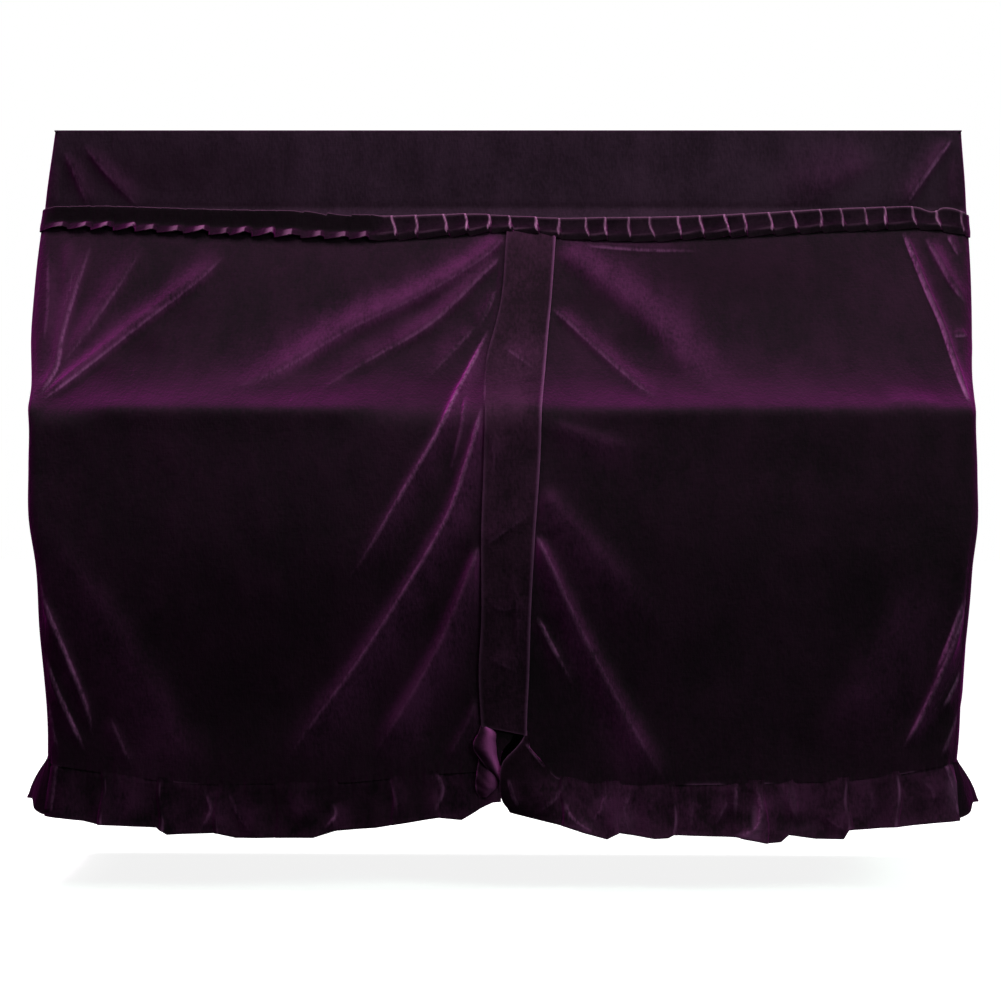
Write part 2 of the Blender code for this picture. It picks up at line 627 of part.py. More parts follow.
def top_panel(collection):
    """The flat panel over the lid, out to the outer face of the walls below it."""
    half = LID_WIDTH / 2 - CLOTH
    near, far = -(LID_DEPTH / 2 + LID_CLEARANCE), BACK_Y
    radius = FRONT_CORNERS[0].radius
    corners = (             # each rounded corner: its sharp point, its radius, where its arc starts
        (half, near, radius, -pi / 2),
        (half, far, BACK_RADIUS, 0.0),
        (-half, far, BACK_RADIUS, pi / 2),
        (-half, near, radius, pi),
    )
    points = []
    for x, y, radius, start in corners:
        centre = (x - np.sign(x) * radius, y - np.sign(y) * radius)
        for angle in np.linspace(start, start + pi / 2, 7):
            points.append((centre[0] + (radius + CLOTH) * np.cos(angle),
                           centre[1] + (radius + CLOTH) * np.sin(angle), 0.0, 1.0))
    outline = bpy.data.curves.new("top_panel", "CURVE")
    outline.dimensions = "2D"
    outline.fill_mode = "BOTH"
    outline.extrude = CLOTH / 2
    spline = outline.splines.new("POLY")
    spline.points.add(len(points) - 1)
    for target, point in zip(spline.points, points):
        target.co = point
    spline.use_cyclic_u = True
    outline.materials.append(material("top_panel"))
    panel = bpy.data.objects.new("top_panel", outline)
    panel.location = (0.0, 0.0, CLOTH / 2)
    collection.objects.link(panel)


def side_hem(place):
    return np.full_like(place, SIDE_HEM_Z)


def main():
    clear_scene()
    cover = bpy.data.collections.new("piano_cover")
    bpy.context.scene.collection.children.link(cover)

    top_panel(cover)
    cloth("yoke", on_wall("front", YOKE), 150, 16, cover, keep=0.065)
    cloth("curtain_left", on_wall("front", LEFT_CURTAIN), 100, 116, cover, keep=0.070)
    cloth("curtain_right", on_wall("front", RIGHT_CURTAIN, raised_edge), 88, 116, cover, keep=0.076)
    cloth("placket", on_wall("front", PLACKET, placket_lift), 8, 130, cover, keep=0.15)
    for side in ("left", "right"):
        cloth(f"side_{side}", on_wall(side, SIDE[side]), 66, 100, cover, keep=0.056)
    cloth("back_panel", on_wall("back", SIDE["back"]), 100, 70, cover, keep=0.022)

    for side, columns in (("front", 117), ("left", 30), ("right", 30)):
        cloth(f"trim_{side}", trim_shape(side), columns, 2, cover, thickness=TRIM_CLOTH)

    left_hem = flounce_shape("front", LEFT_CURTAIN, lambda x: read(FRONT_HEM, "x", "bottom", x),
                             PLEATS_LEFT, LEFT_LOOSE_END, 1.0)
    right_hem = flounce_shape("front", RIGHT_CURTAIN,
                              lambda x: read(FRONT_HEM_RIGHT, "x", "bottom", x),
                              PLEATS_RIGHT, RIGHT_LOOSE_END, 0.0)
    cloth("flounce_front_left", left_hem, 44, 4, cover)
    cloth("flounce_front_right", right_hem, 44, 4, cover)
    for side, columns in (("left", 35), ("right", 35), ("back", 64)):
        gathered = flounce_shape(side, SIDE[side], side_hem, even_pleats(side))
        cloth(f"flounce_{side}", gathered, columns, 2, cover)


main()
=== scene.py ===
"""Looks of the velvet cover for an upright piano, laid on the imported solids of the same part.

The solids' origin is the underside of the top panel, +X is to the right for someone at the
keyboard, the keyboard side faces -Y and +Z is up. Metres throughout. Each sheet is a fine grid
on the wall that its solid follows, with the creases, rolled edges and pile that the solids lack.
"""
from collections import namedtuple
from math import pi, radians

import bpy
import numpy as np
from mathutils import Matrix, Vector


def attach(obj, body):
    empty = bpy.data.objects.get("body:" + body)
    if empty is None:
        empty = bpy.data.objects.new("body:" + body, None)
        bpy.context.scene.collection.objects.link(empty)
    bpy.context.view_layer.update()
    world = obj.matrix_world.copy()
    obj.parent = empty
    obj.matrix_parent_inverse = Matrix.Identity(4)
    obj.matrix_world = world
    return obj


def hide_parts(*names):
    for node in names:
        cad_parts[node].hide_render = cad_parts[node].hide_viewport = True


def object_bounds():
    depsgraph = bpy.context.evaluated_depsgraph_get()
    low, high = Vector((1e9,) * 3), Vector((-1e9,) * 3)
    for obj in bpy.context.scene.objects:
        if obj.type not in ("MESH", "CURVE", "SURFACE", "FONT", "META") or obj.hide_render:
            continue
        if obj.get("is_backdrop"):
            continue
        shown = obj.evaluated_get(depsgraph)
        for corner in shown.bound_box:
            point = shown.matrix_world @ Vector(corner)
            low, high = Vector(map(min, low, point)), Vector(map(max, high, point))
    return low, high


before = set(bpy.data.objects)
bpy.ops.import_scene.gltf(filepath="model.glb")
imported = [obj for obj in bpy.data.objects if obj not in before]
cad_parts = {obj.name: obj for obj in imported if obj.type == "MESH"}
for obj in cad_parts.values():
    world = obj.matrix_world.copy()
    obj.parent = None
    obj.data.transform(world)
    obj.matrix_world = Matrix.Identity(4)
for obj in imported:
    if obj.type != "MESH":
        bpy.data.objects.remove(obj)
cad_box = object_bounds()


# ---- tables ----
def metres(value):
    """A number of millimetres, or nested tuples of them, in metres."""
    if isinstance(value, tuple):
        return tuple(metres(part) for part in value)
    return value / 1000


def table(columns, *rows):
    """Rows with named columns. Those with _mm in their names are written in mm, kept in metres."""
    names = columns.split()
    row_type = namedtuple("Row", [name.removesuffix("_mm") for name in names])
    named = []
    for row in rows:
        cells = zip(names, row, strict=True)
        named.append(row_type(*(metres(cell) if name.endswith("_mm") else cell for name, cell in cells)))
    return tuple(named)


# ---- sizes that the solids also have ----
LID_DEPTH = 0.380
LID_CLEARANCE = 0.002
BACK_Y = LID_DEPTH / 2 + LID_CLEARANCE
KEYBED_REACH = 0.280        # how far the keyboard stands out in front of the lid
CLOTH = 0.002
TRIM_CLOTH = 0.0015
PLUMB_Z = -0.126            # the front is plumb down to here, then slopes out to its ridge
YOKE_Z = -0.140             # the seam under the pleated strip
RIDGE_Z = -0.4635           # the keyboard's upper edge
KEYBED_BOTTOM_Z = -0.597
HEM_Z = -1.040
HEM_DRIFT = 0.015           # how far the cloth falls back below the keyboard
TAUT = 0.70                 # how much of the slope is straight; the rest swings out near its foot
SWING_POWER = 8
RIDGE_ROUNDING = 0.011
SOFT_ROUNDING = 0.034       # the same where folds lift the cloth off the keyboard's edge
BACK_HALF_WIDTH = 0.750
BACK_TAPER = 0.008
BACK_RADIUS = 0.012

# The front's half-widths, and the radius of its two vertical corners, down its height.
FRONT_CORNERS = table("z_mm left_mm right_mm radius_mm",
    (0, 747, 753, 8), (-140, 766, 763, 12), (-250, 773, 766, 22), (-350, 769, 761, 22),
    (-420, 756, 753, 18), (-473, 748, 748, 14), (-560, 747, 749, 16), (-640, 747, 749, 22),
    (-712, 737, 743, 28), (-825, 734, 737, 34), (-901, 728, 732, 34), (-976, 723, 727, 32),
    (-1020, 722, 722, 30))
# Where along the keyboard's edge the cloth is softly rounded, 1, or taut over it, 0.
RIDGE_SOFTNESS = table("x_mm share",
    (-746, 0), (-722, 1), (-690, 1), (-620, 0), (-260, 0), (-160, 0.9), (-30, 0.9), (80, 0.4),
    (200, 0))

# The upper and lower edge of the pleated strip along the front.
TRIM_LINES = table("x_mm top_mm bottom_mm",
    (-754, -131, -168), (-670, -130, -171), (-590, -132, -174), (-505, -135, -178),
    (-420, -137, -181), (-339, -138, -184), (-256, -144, -186), (-173, -143, -183),
    (-107, -141, -178), (-50, -140, -174), (0, -143, -170), (40, -145, -173), (90, -147, -181),
    (157, -146, -185), (240, -145, -186), (322, -143, -181), (421, -138, -176), (536, -131, -169),
    (619, -128, -166), (680, -128, -164), (705, -136, -166), (722, -129, -168), (738, -130, -172),
    (762, -139, -176))
TRIM_ROOT = 0.012           # the yoke's seam lies this far under the strip's upper edge
TRIM_PITCH = 0.0387
TRIM_FIRST = -0.7205        # where one of the pleats drops
TRIM_TURN = -0.212          # left of it the strip flips outward at its lower edge
TRIM_TURN_WIDTH = 0.030
TRIM_LEAN = 0.0045          # how far a pleat leans along the wall, down the strip's width
TRIM_LEAN_TURNED = -0.002
TRIM_BASE = 0.0030          # how far the strip stands off where it is sewn down at the corners
TRIM_BEAD = 0.0012          # the roll along its upper edge
TRIM_DIP = 0.0010           # how far that edge dips between two pleats
TRIM_DEEP_DIP = 0.0045      # and round TRIM_DIP_X
TRIM_DIP_X = -0.290
TRIM_DIP_WIDTH = 0.080
TRIM_NOTCH = 0.003          # how uneven the pleats leave its lower edge
TRIM_NOTCH_TURNED = 0.006
SIDE_TRIM_DEPTH = 0.45      # how deep the strip is on the sides, as a share of the front's

# How far the strip stands off its wall, and how deep its pleats are, down its width, to the left
# of that turn and to the right.
TRIM_SECTION = table("share stand_left_mm pleat_left_mm stand_right_mm pleat_right_mm",
    (0, 9.8, 1.2, 4.5, 0.8),
    (0.1, 9.2, 1.2, 3.6, 3.6),
    (0.35, 4.6, 1.2, 2, 5.2),
    (0.56, 1, 2, 2.8, 5.6),
    (0.78, 3.6, 5.8, 5, 5),
    (1, 7, 7.8, 2.2, 4))

PLACKET_EDGES = table("z_mm left_mm right_mm",
    (-175, 4, 84), (-300, -6, 76), (-335, -14, 73), (-377, -24, 70), (-455, -24, 65),
    (-560, -26, 61), (-665, -29, 54), (-800, -29, 47), (-880, -33, 45), (-985, -27, 42),
    (-1060, -20, 50))
LAP = 0.0038                # how far the placket stands off the curtains that it lies over
PLACKET_TUCK = 0.008        # how far it goes up under the pleated strip
UNDER_PLACKET = 0.003       # how far the right curtain reaches under its right edge
BEHIND_PLACKET = 0.006      # how far short of that edge the left curtain ends
ROLL_RIGHT = 0.0014         # the height of the rolls along its two edges
ROLL_LEFT = 0.0008
ROLL_WIDTH = 0.002
PALE_RIGHT = 0.50           # how strong the painted highlight along its right edge is,
PALE_LEFT_ABOVE = 0.10      # its left edge, above the keyboard's lower edge and below it,
PALE_LEFT_BELOW = 0.24
PALE_END = 0.15             # and its lower end
PALE_WIDTH = 0.0022
CLIMB = 0.0012              # how far the right curtain rises towards it
CLIMB_WIDTH = 0.030
HEM_LINE_PALE = 0.30        # how strong the painted highlight along the sewn lower edge of the curtains is
HEM_LINE_WIDTH = 0.0025
PLACKET_END_WIDTH = 0.070
PLACKET_END_LEFT_Z = -0.966
PLACKET_END_RIGHT_Z = -0.980

# The left curtain's inner edge, from where it strays from the placket's right edge.
LEFT_CURTAIN_EDGE = table("z_mm x_mm",
    (-800, 44), (-900, 26), (-950, 20), (-985, 19), (-1005, 4), (-1045, 2), (-1090, 2))

# The flounces' seams and hems, below the left and the right curtain.
SEAM_LEFT = table("x_mm z_mm",
    (-745, -1020), (-701, -1031), (-609, -1045), (-522, -1056), (-466, -1060), (-237, -1056),
    (-158, -1048), (-95, -1042), (-35, -1038), (0, -1049))
SEAM_RIGHT = table("x_mm z_mm",
    (42, -978), (47, -1005), (71, -1033), (90, -1049), (140, -1057), (271, -1058), (419, -1055),
    (545, -1050), (626, -1040), (709, -1024), (745, -1020))
HEM_LEFT = table("x_mm z_mm",
    (-745, -1105), (-709, -1111), (-658, -1117), (-631, -1123), (-542, -1127), (-525, -1138),
    (-449, -1135), (-417, -1143), (-294, -1142), (-260, -1131), (-196, -1126), (-99, -1110),
    (-60, -1113), (-31, -1095), (-10, -1085), (2, -1084))
HEM_RIGHT = table("x_mm z_mm",
    (16, -1101), (35, -1104), (95, -1120), (153, -1138), (169, -1142), (188, -1132), (244, -1141),
    (265, -1140), (274, -1135), (372, -1138), (418, -1147), (441, -1145), (454, -1134),
    (496, -1140), (540, -1140), (548, -1126), (623, -1121), (719, -1111), (745, -1108))
UNDER_LID = -0.0003         # where the walls' cloth starts, under the top panel
SIDE_SEAM_Z = -1.021
SIDE_HEM_Z = -1.108

# ---- folds ----
# A fold's crest runs through the points of "path": the place along the wall, and z. It stands
# "height" proud, with half-widths width0 and width1 at its two ends. It reaches its full height
# after the share "rise" of its length, and starts to fade at the share "hold". "crisp" is how
# much of it is a narrow crease along its crest. Its slope is long and soft on one side, above the
# crest where "soft" is 1 and below it where "soft" is -1, and short on the other.
FOLD = "height_mm width0_mm width1_mm rise hold crisp soft path_mm"
YOKE_FOLDS = table(FOLD,
    (4.2, 6, 8, 0.3, 0.7, 0.25, 1, ((-731, -27), (-708, -77), (-686, -127))),
    (4.2, 6, 9, 0.3, 0.7, 0.3, 1, ((-698, -19), (-658, -69), (-601, -127))),
    (5.4, 7, 10, 0.2, 0.8, 0.7, 1, ((736, -11), (701, -60), (657, -124))),
    (3.6, 20, 24, 0.3, 0.6, 0, 1, ((622, -35), (537, -80), (435, -124))),
    (2.4, 5, 5, 0.3, 0.7, 0, 1, ((741, -30), (737, -80), (742, -126))),
    (2.4, 5, 5, 0.3, 0.7, 0, 1, ((-741, -47), (-744, -89), (-743, -127))))
LEFT_CURTAIN_FOLDS = table(FOLD,
    # fanning up from the keyboard's left end
    (6.7, 7, 10, 0.15, 0.7, 0.5, 1, ((-738, -449), (-718, -401), (-714, -342), (-699, -265),
      (-678, -177))),
    (5.9, 9, 12, 0.2, 0.6, 0.2, 1, ((-714, -398), (-678, -342), (-647, -290), (-618, -239),
      (-589, -180))),
    (10.4, 8, 12, 0.15, 0.65, 0.5, 1, ((-734, -456), (-680, -406), (-594, -329), (-501, -251),
      (-454, -202))),
    (3, 6, 7, 0.3, 0.7, 0.2, 1, ((-741, -359), (-740, -299), (-749, -189))),
    (3, 6, 8, 0.4, 0.7, 0, 1, ((-717, -282), (-714, -231), (-710, -180))),
    # fanning down from the parting's upper end
    (10.4, 9, 18, 0.12, 0.7, 0.3, 1, ((2, -173), (-44, -217), (-138, -276), (-250, -332), (-358, -402),
      (-470, -448))),
    (6.7, 8, 12, 0.15, 0.5, 0.3, 1, ((-4, -207), (-43, -247), (-120, -324), (-237, -397), (-311, -451))),
    (3.7, 7, 12, 0.3, 0.5, 0.2, 1, ((-42, -324), (-78, -366), (-131, -426))),
    (3.7, 5, 7, 0.3, 0.6, 0.2, 1, ((-12, -261), (-26, -298), (-42, -332))),
    (7.6, 6, 13, 0.12, 0.55, 0.9, -1, ((-20, -332), (-64, -426), (-95, -499), (-150, -594),
      (-205, -688), (-245, -744))),
    (3.7, 5, 5, 0.2, 0.6, 0.3, -1, ((-22, -375), (-24, -426), (-23, -471))),
    (10.2, 7, 24, 0.12, 0.7, 0.9, -1, ((-27, -459), (-48, -539), (-84, -641), (-158, -767),
      (-229, -875), (-300, -970), (-340, -1028))),
    (3.7, 5, 6, 0.2, 0.5, 0.3, -1, ((-55, -443), (-61, -499), (-84, -594))),
    (10.4, 8, 20, 0.15, 0.8, 0.3, -1, ((-29, -675), (-48, -727), (-90, -830), (-142, -925),
      (-205, -1023))),
    (4.4, 7, 12, 0.3, 0.7, 0.1, -1, ((-30, -909), (-55, -972), (-87, -1027))),
    # at the lower left, from the keyboard's end to the hem
    (7.2, 8, 8, 0.2, 0.65, 0.6, -1, ((-739, -627), (-724, -753), (-692, -840), (-656, -935),
      (-645, -990))),
    (5.2, 5, 6, 0.25, 0.75, 0.8, -1, ((-721, -848), (-704, -903), (-680, -959), (-658, -1009))),
    (3, 4, 5, 0.3, 0.7, 0.5, -1, ((-715, -927), (-709, -967), (-699, -1014))),
    (4.6, 22, 34, 0.45, 0.7, 0, -1, ((-733, -623), (-671, -721), (-577, -863), (-506, -998),
      (-469, -1045))),
    (3, 8, 10, 0.3, 0.7, 0.2, -1, ((-620, -950), (-601, -993), (-582, -1034))))
RIGHT_CURTAIN_FOLDS = table(FOLD,
    # fanning down from the parting's upper end
    (2.2, 6, 6, 0.2, 0.6, 0.3, 1, ((124, -190), (223, -198), (330, -200))),
    (8.1, 14, 24, 0.15, 0.55, 0, 1, ((80, -193), (141, -235), (223, -301), (317, -403), (377, -454))),
    (5.9, 7, 10, 0.15, 0.65, 0.3, 1, ((77, -295), (116, -329), (157, -369), (220, -427), (254, -454))),
    # down the right end, from the yoke to the keyboard
    (6.7, 4.5, 5, 0.12, 0.85, 1, 1, ((655, -166), (672, -216), (689, -269), (710, -328), (731, -416),
      (740, -460))),
    (6.7, 7, 6, 0.2, 0.75, 0.4, 1, ((692, -176), (711, -216), (728, -252), (752, -291))),
    (3.7, 5, 4, 0.2, 0.7, 0.5, 1, ((729, -173), (746, -210))),
    (3.7, 5, 5, 0.3, 0.6, 0.4, 1, ((725, -343), (751, -341))),
    (3, 10, 8, 0.3, 0.6, 0, 1, ((597, -458), (652, -456), (706, -461))),
    # below the keyboard, from the placket to the hem
    (3.7, 10, 16, 0.2, 0.5, 0, -1, ((68, -486), (156, -515), (235, -533))),
    (5.2, 14, 28, 0.15, 0.55, 0, -1, ((59, -584), (94, -628), (133, -672), (220, -771), (267, -829))),
    (9.6, 8, 20, 0.12, 0.8, 0.3, -1, ((53, -661), (78, -711), (129, -821), (205, -963), (265, -1062))),
    (5.2, 5, 8, 0.25, 0.6, 0.7, -1, ((56, -790), (75, -829), (116, -905))),
    (9.6, 10, 7, 0.2, 0.8, 0.6, -1, ((746, -651), (731, -765), (714, -827), (668, -938), (634, -1001))),
    (5.2, 5, 5, 0.25, 0.7, 0.8, -1, ((730, -761), (707, -828), (685, -884))),
    (3.7, 5, 5, 0.25, 0.7, 0.6, -1, ((726, -872), (712, -906), (696, -938))),
    (3.7, 6, 6, 0.25, 0.7, 0.3, -1, ((723, -935), (708, -982), (695, -1013))),
    (4, 26, 36, 0.45, 0.7, 0, -1, ((677, -699), (628, -796), (582, -891), (496, -1009))))
PLACKET_FOLDS = table(FOLD,
    (3, 10, 12, 0.4, 0.5, 0.2, 1, ((0, -360), (28, -380), (56, -402))),
    (3, 10, 12, 0.4, 0.5, 0.2, 1, ((-26, -680), (7, -656), (48, -628))),
    (2, 12, 12, 0.4, 0.5, 0.1, 1, ((-20, -852), (4, -866), (35, -880))),
    (2, 12, 12, 0.4, 0.5, 0.1, 1, ((-23, -765), (5, -779), (39, -768))),
    (2, 8, 10, 0.4, 0.5, 0.1, 1, ((-18, -490), (-8, -546), (-18, -590))),
    (2, 10, 14, 0.4, 0.5, 0.1, 1, ((20, -700), (30, -810), (22, -930))))
FLOUNCE_LEFT_FOLDS = table(FOLD,
    (4, 9, 12, 0.4, 0.6, 0.4, -1, ((-466, -1066), (-455, -1100), (-472, -1134))),
    (3, 10, 12, 0.5, 0.7, 0.15, 1, ((-430, -1066), (-412, -1104), (-385, -1140))),
    (3, 12, 14, 0.4, 0.6, 0, 1, ((-335, -1050), (-322, -1090), (-312, -1125))),
    (4, 8, 10, 0.4, 0.6, 0.4, -1, ((-262, -1086), (-258, -1108), (-280, -1134))),
    (2.5, 7, 9, 0.4, 0.6, 0.25, 1, ((-172, -1045), (-163, -1080), (-160, -1110))),
    (3.2, 6, 8, 0.2, 0.6, 0.35, 1, ((-102, -1040), (-92, -1070), (-110, -1108))),
    (2.5, 4, 6, 0.1, 0.95, 0.35, 1, ((-702, -1028), (-706, -1062), (-710, -1104))),
    (2, 14, 18, 0.4, 0.6, 0, 1, ((-560, -1040), (-580, -1080), (-575, -1120))))
FLOUNCE_RIGHT_FOLDS = table(FOLD,
    (2, 4, 5, 0.2, 0.8, 0.8, 1, ((40, -990), (56, -1010), (72, -1030))),
    (2, 4, 5, 0.2, 0.8, 0.5, 1, ((14, -1045), (22, -1075), (30, -1090))),
    (4, 10, 14, 0.4, 0.6, 0.25, 1, ((104, -1052), (84, -1080), (58, -1100))),
    (4.5, 9, 11, 0.4, 0.75, 0.45, -1, ((100, -1082), (112, -1110), (150, -1136))),
    (4, 8, 10, 0.4, 0.65, 0.45, -1, ((170, -1055), (163, -1088), (146, -1120))),
    (4, 13, 16, 0.4, 0.7, 0.2, 1, ((214, -1050), (195, -1095), (204, -1142))),
    (2, 14, 18, 0.5, 0.6, 0, 1, ((245, -1050), (240, -1090), (232, -1142))),
    (2.8, 12, 14, 0.5, 0.6, 0.1, 1, ((306, -1055), (300, -1100), (302, -1146))),
    (2.5, 8, 9, 0.4, 0.6, 0.2, 1, ((360, -1076), (336, -1120))),
    (3.2, 7, 8, 0.35, 0.6, 0.3, 1, ((371, -1050), (368, -1108))),
    (6, 8, 12, 0.35, 0.8, 0.9, -1, ((404, -1052), (411, -1092), (404, -1124), (370, -1142))),
    (3.8, 11, 12, 0.4, 0.6, 0.2, 1, ((446, -1050), (458, -1086), (476, -1118))),
    (2.5, 10, 12, 0.4, 0.6, 0.1, 1, ((500, -1090), (530, -1118), (552, -1124))),
    (2.2, 10, 12, 0.4, 0.6, 0.1, 1, ((576, -1050), (584, -1082), (570, -1112))),
    (2.5, 10, 12, 0.4, 0.6, 0.15, 1, ((660, -1040), (682, -1066), (678, -1092))),
    (5, 7, 10, 0.15, 0.9, 0.8, 1, ((702, -1020), (713, -1058), (722, -1104))))
SIDE_FOLDS = table(FOLD,
    # fanning from the keyboard's end, up to the lid and back along the side
    (7, 10, 18, 0.4, 0.65, 0.3, 1, ((-430, -455), (-300, -260), (-185, -40))),
    (10, 10, 30, 0.4, 0.6, 0.3, 1, ((-425, -470), (-180, -300), (60, -160))),
    (8, 12, 34, 0.4, 0.5, 0.2, 1, ((-420, -500), (-160, -470), (110, -480))),
    # hanging down from it to the hem
    (8, 12, 24, 0.4, 0.8, 0.3, 1, ((-405, -500), (-385, -760), (-360, -1000))),
    (12, 12, 34, 0.4, 0.75, 0.2, 1, ((-395, -520), (-290, -760), (-180, -1000))),
    # hanging from the lid's rear corner
    (8, 10, 30, 0.2, 0.6, 0.3, 1, ((165, -20), (110, -420), (60, -900))),
    (11, 20, 36, 0.45, 0.85, 0.1, 1, ((0, -560), (-20, -800), (-10, -1000))),
    (4, 6, 12, 0.3, 0.6, 0.3, 1, ((-160, -20), (-100, -120), (-80, -220))))
BACK_FOLDS = table(FOLD,
    (9, 9, 30, 0.2, 0.55, 0.3, 1, ((-730, -15), (-665, -350), (-600, -700))),
    (6, 20, 34, 0.5, 0.85, 0.1, 1, ((-520, -300), (-530, -650), (-515, -1000))),
    (9, 26, 40, 0.5, 0.85, 0.1, 1, ((-340, -250), (-350, -650), (-360, -1000))),
    (6, 20, 36, 0.5, 0.85, 0, 1, ((-120, -450), (-130, -750), (-110, -1000))),
    (10, 30, 45, 0.5, 0.85, 0.1, 1, ((60, -350), (50, -700), (40, -1000))),
    (8, 26, 36, 0.5, 0.85, 0.1, 1, ((420, -200), (410, -600), (400, -1000))),
    (9, 9, 30, 0.2, 0.55, 0.3, 1, ((730, -15), (670, -330), (610, -650))))

# Patches of painted shade, and a few of painted highlight, on the front: the middle of each patch,
# how far it spreads along the wall and in height, and how much paler it is, or darker if negative.
SHADE_AND_HIGHLIGHT_PATCHES = table("x_mm z_mm width_mm height_mm paler",
    (-620, -70, 220, 50, -0.55), (745, -80, 30, 80, -0.4), (0, -124, 2000, 8, -0.4),
    # in the hollows beside the folds that fan out above the keyboard
    (-635, -405, 30, 18, -0.6), (-574, -362, 35, 22, -0.6), (-515, -305, 40, 22, -0.4),
    (-105, -290, 50, 16, -0.55), (-160, -345, 50, 18, -0.55), (-240, -395, 50, 18, -0.3),
    (141, -285, 45, 24, -0.45), (206, -345, 45, 24, -0.5), (269, -395, 40, 22, -0.35),
    (700, -280, 16, 60, -0.4), (370, -235, 200, 60, -0.45),
    # along the keyboard's edge
    (660, -440, 80, 24, -0.4), (-250, -440, 100, 20, -0.22), (-710, -440, 40, 24, -0.55),
    (-74, -430, 70, 26, -0.5), (-360, -445, 120, 14, 0.014), (550, -440, 110, 14, 0.014),
    # below it
    (60, -560, 80, 60, 0.012), (-180, -540, 160, 60, 0.01), (-640, -960, 100, 80, -0.45),
    (-420, -900, 140, 120, -0.25), (580, -960, 140, 70, -0.35),
    # on the gathered strips
    (-300, -1080, 160, 50, -0.55), (-640, -1060, 30, 40, -0.3), (-140, -1080, 40, 40, -0.4),
    (130, -1125, 22, 12, 0.1), (160, -1085, 16, 20, 0.05), (195, -1115, 18, 20, 0.08),
    (404, -1112, 7, 24, 0.4), (388, -1136, 18, 6, 0.28), (452, -1075, 18, 20, 0.07),
    (480, -1125, 40, 10, 0.06), (360, -1105, 18, 20, -0.6), (711, -1060, 9, 30, 0.3),
    (600, -1075, 16, 30, -0.5), (660, -1085, 14, 18, -0.45), (258, -1090, 14, 40, -0.4),
    (-462, -1105, 12, 25, 0.08), (-262, -1120, 14, 14, 0.08))

SOFT_SIDE = 1.7             # how many times wider a fold is on its soft side
FOLD_REACH = 10.0           # beyond this many half-widths a fold lifts nothing
CREASE_FALL = 2.2           # how fast a narrow crease falls away from its crest
TROUGH = 0.30               # how deep the hollow beside a fold is, as a share of its height
TROUGH_AWAY = 2.0           # and how many half-widths it lies from the crest
FULL_GLOW = 0.0120          # the height of a fold whose slopes get the full painted highlight
GLOW_SOFT = 2.4             # how many half-widths that painted highlight spreads on a fold's soft side
GLOW_SHARP = 0.8            # and on the other
CREASE_LAYERS = 2
CREASE_REACH = 0.080        # beyond this a point keeps no mark of a crease
LINE_REACH = 0.008
LINE_SHARP_EDGE = (-0.0048, -0.0022)    # where the painted highlight line along a crest fades in
LINE_SOFT_EDGE = (0.0022, -0.0016)      # and out, as distances from the crest

EDGE_FADE = 0.020           # folds fade out this close to a wall's corners
YOKE_CLEAR = 0.004          # the yoke has no folds this close to its seam,
YOKE_FADE = 0.020           # and they fade out over this much more
SEAM_CLEAR = 0.010          # the same for the curtains, below that seam
SEAM_FADE = 0.030
PLACKET_FADE = 0.014        # and how far from the placket their folds fade out
LID_FADE = 0.100            # the sides' and the back's waves fade out this far under the lid
SLACK_FADE = 0.060          # the cloth is taut this close to the keyboard's edge and the yoke
SIDE_SHIFT = 0.010          # the right side's folds lie this much further back
WAVE_SHIFT = 40.0           # and its waves this many times as far forward
SWELL = 0.0030              # the height of the slow waves in the cloth
BELLY = 0.013               # the cloth bellies out this much between the keyboard and the hem
BELLY_RISE = 0.260
BELLY_FALL = 0.360

# ---- the gathered strips along the hem ----
# A knife pleat drops sharply on one side of x and fades away towards the other, "side". "pale" is
# how strong the painted highlight along its edge is.
PLEAT = "x_mm side height_mm pale"
PLEATS_LEFT = table(PLEAT,
    (-627, 1, 5, 0.5), (-537, 1, 5.5, 0.3), (-442, 1, 4, 0.2), (-354, 1, 3, 0.12),
    (-260, -1, 5, 0.3), (-167, 1, 3, 0.1), (-99, -1, 4.5, 0.2))
PLEATS_RIGHT = table(PLEAT,
    (99, 1, 5.5, 0), (186, -1, 5, 0), (272, -1, 4.5, 0.45), (413, -1, 6, 0.05),
    (460, -1, 3.5, 0.05), (547, -1, 5, 0.35), (625, -1, 5, 0.55))
PLEAT_RUN = 0.034           # how far a pleat takes to fade away
PLEAT_DROP = 0.0055         # and to drop
PLEAT_SWAY = 0.0030
PLEAT_PITCH = 0.092
RUFFLE = 0.0026
PUCKER = 0.0006             # the height of the puckers along a gathered seam
PUCKER_REACH = 0.014
ROOT = 0.006                # a flounce starts this far above its seam
FLARE = 0.012               # how far its hem stands out
FLARE_POWER = 1.3
TUCK = -0.0018              # and its seam, which is tucked in
HEM_ROLL = 0.0010
# how strong the painted highlight along the hem's roll is
HEM_PALE = 0.10
CORNER_FLARE = 0.016        # how far the side's flounce stands out beside the front corner
CORNER_LIFT = 0.022         # and how much higher its hem is there
CORNER_RISE = 0.045         # this part of it starts at the corner, and rises over this length,
CORNER_WIDTH = 0.150        # ends this far from it,
CORNER_FALL = 0.070         # and falls over this length
PLEAT_SAG = 0.35            # how far a pleat hangs below the hem, as a share of its height

# The right flounce's free end, from its seam to its hem.
RIGHT_FREE_END = table("share x_mm z_mm out_mm",
    (0, 42, -978, 2), (0.2, 25, -999, 8), (0.4, 5, -1021, 12), (0.6, 0, -1048, 12),
    (0.8, 2, -1078, 8), (1, 16, -1101, 2))
FREE_END_WIDTH = 0.060
FREE_END_CROWDING = 1.4     # the grid's columns crowd towards it by this power
FREE_END_EDGE = 0.0015      # how wide the painted highlight along its edge is,
FREE_END_PALE = 0.35        # how strong,
FREE_END_DARK = 0.85        # and how much painted shade the cloth beside it gets
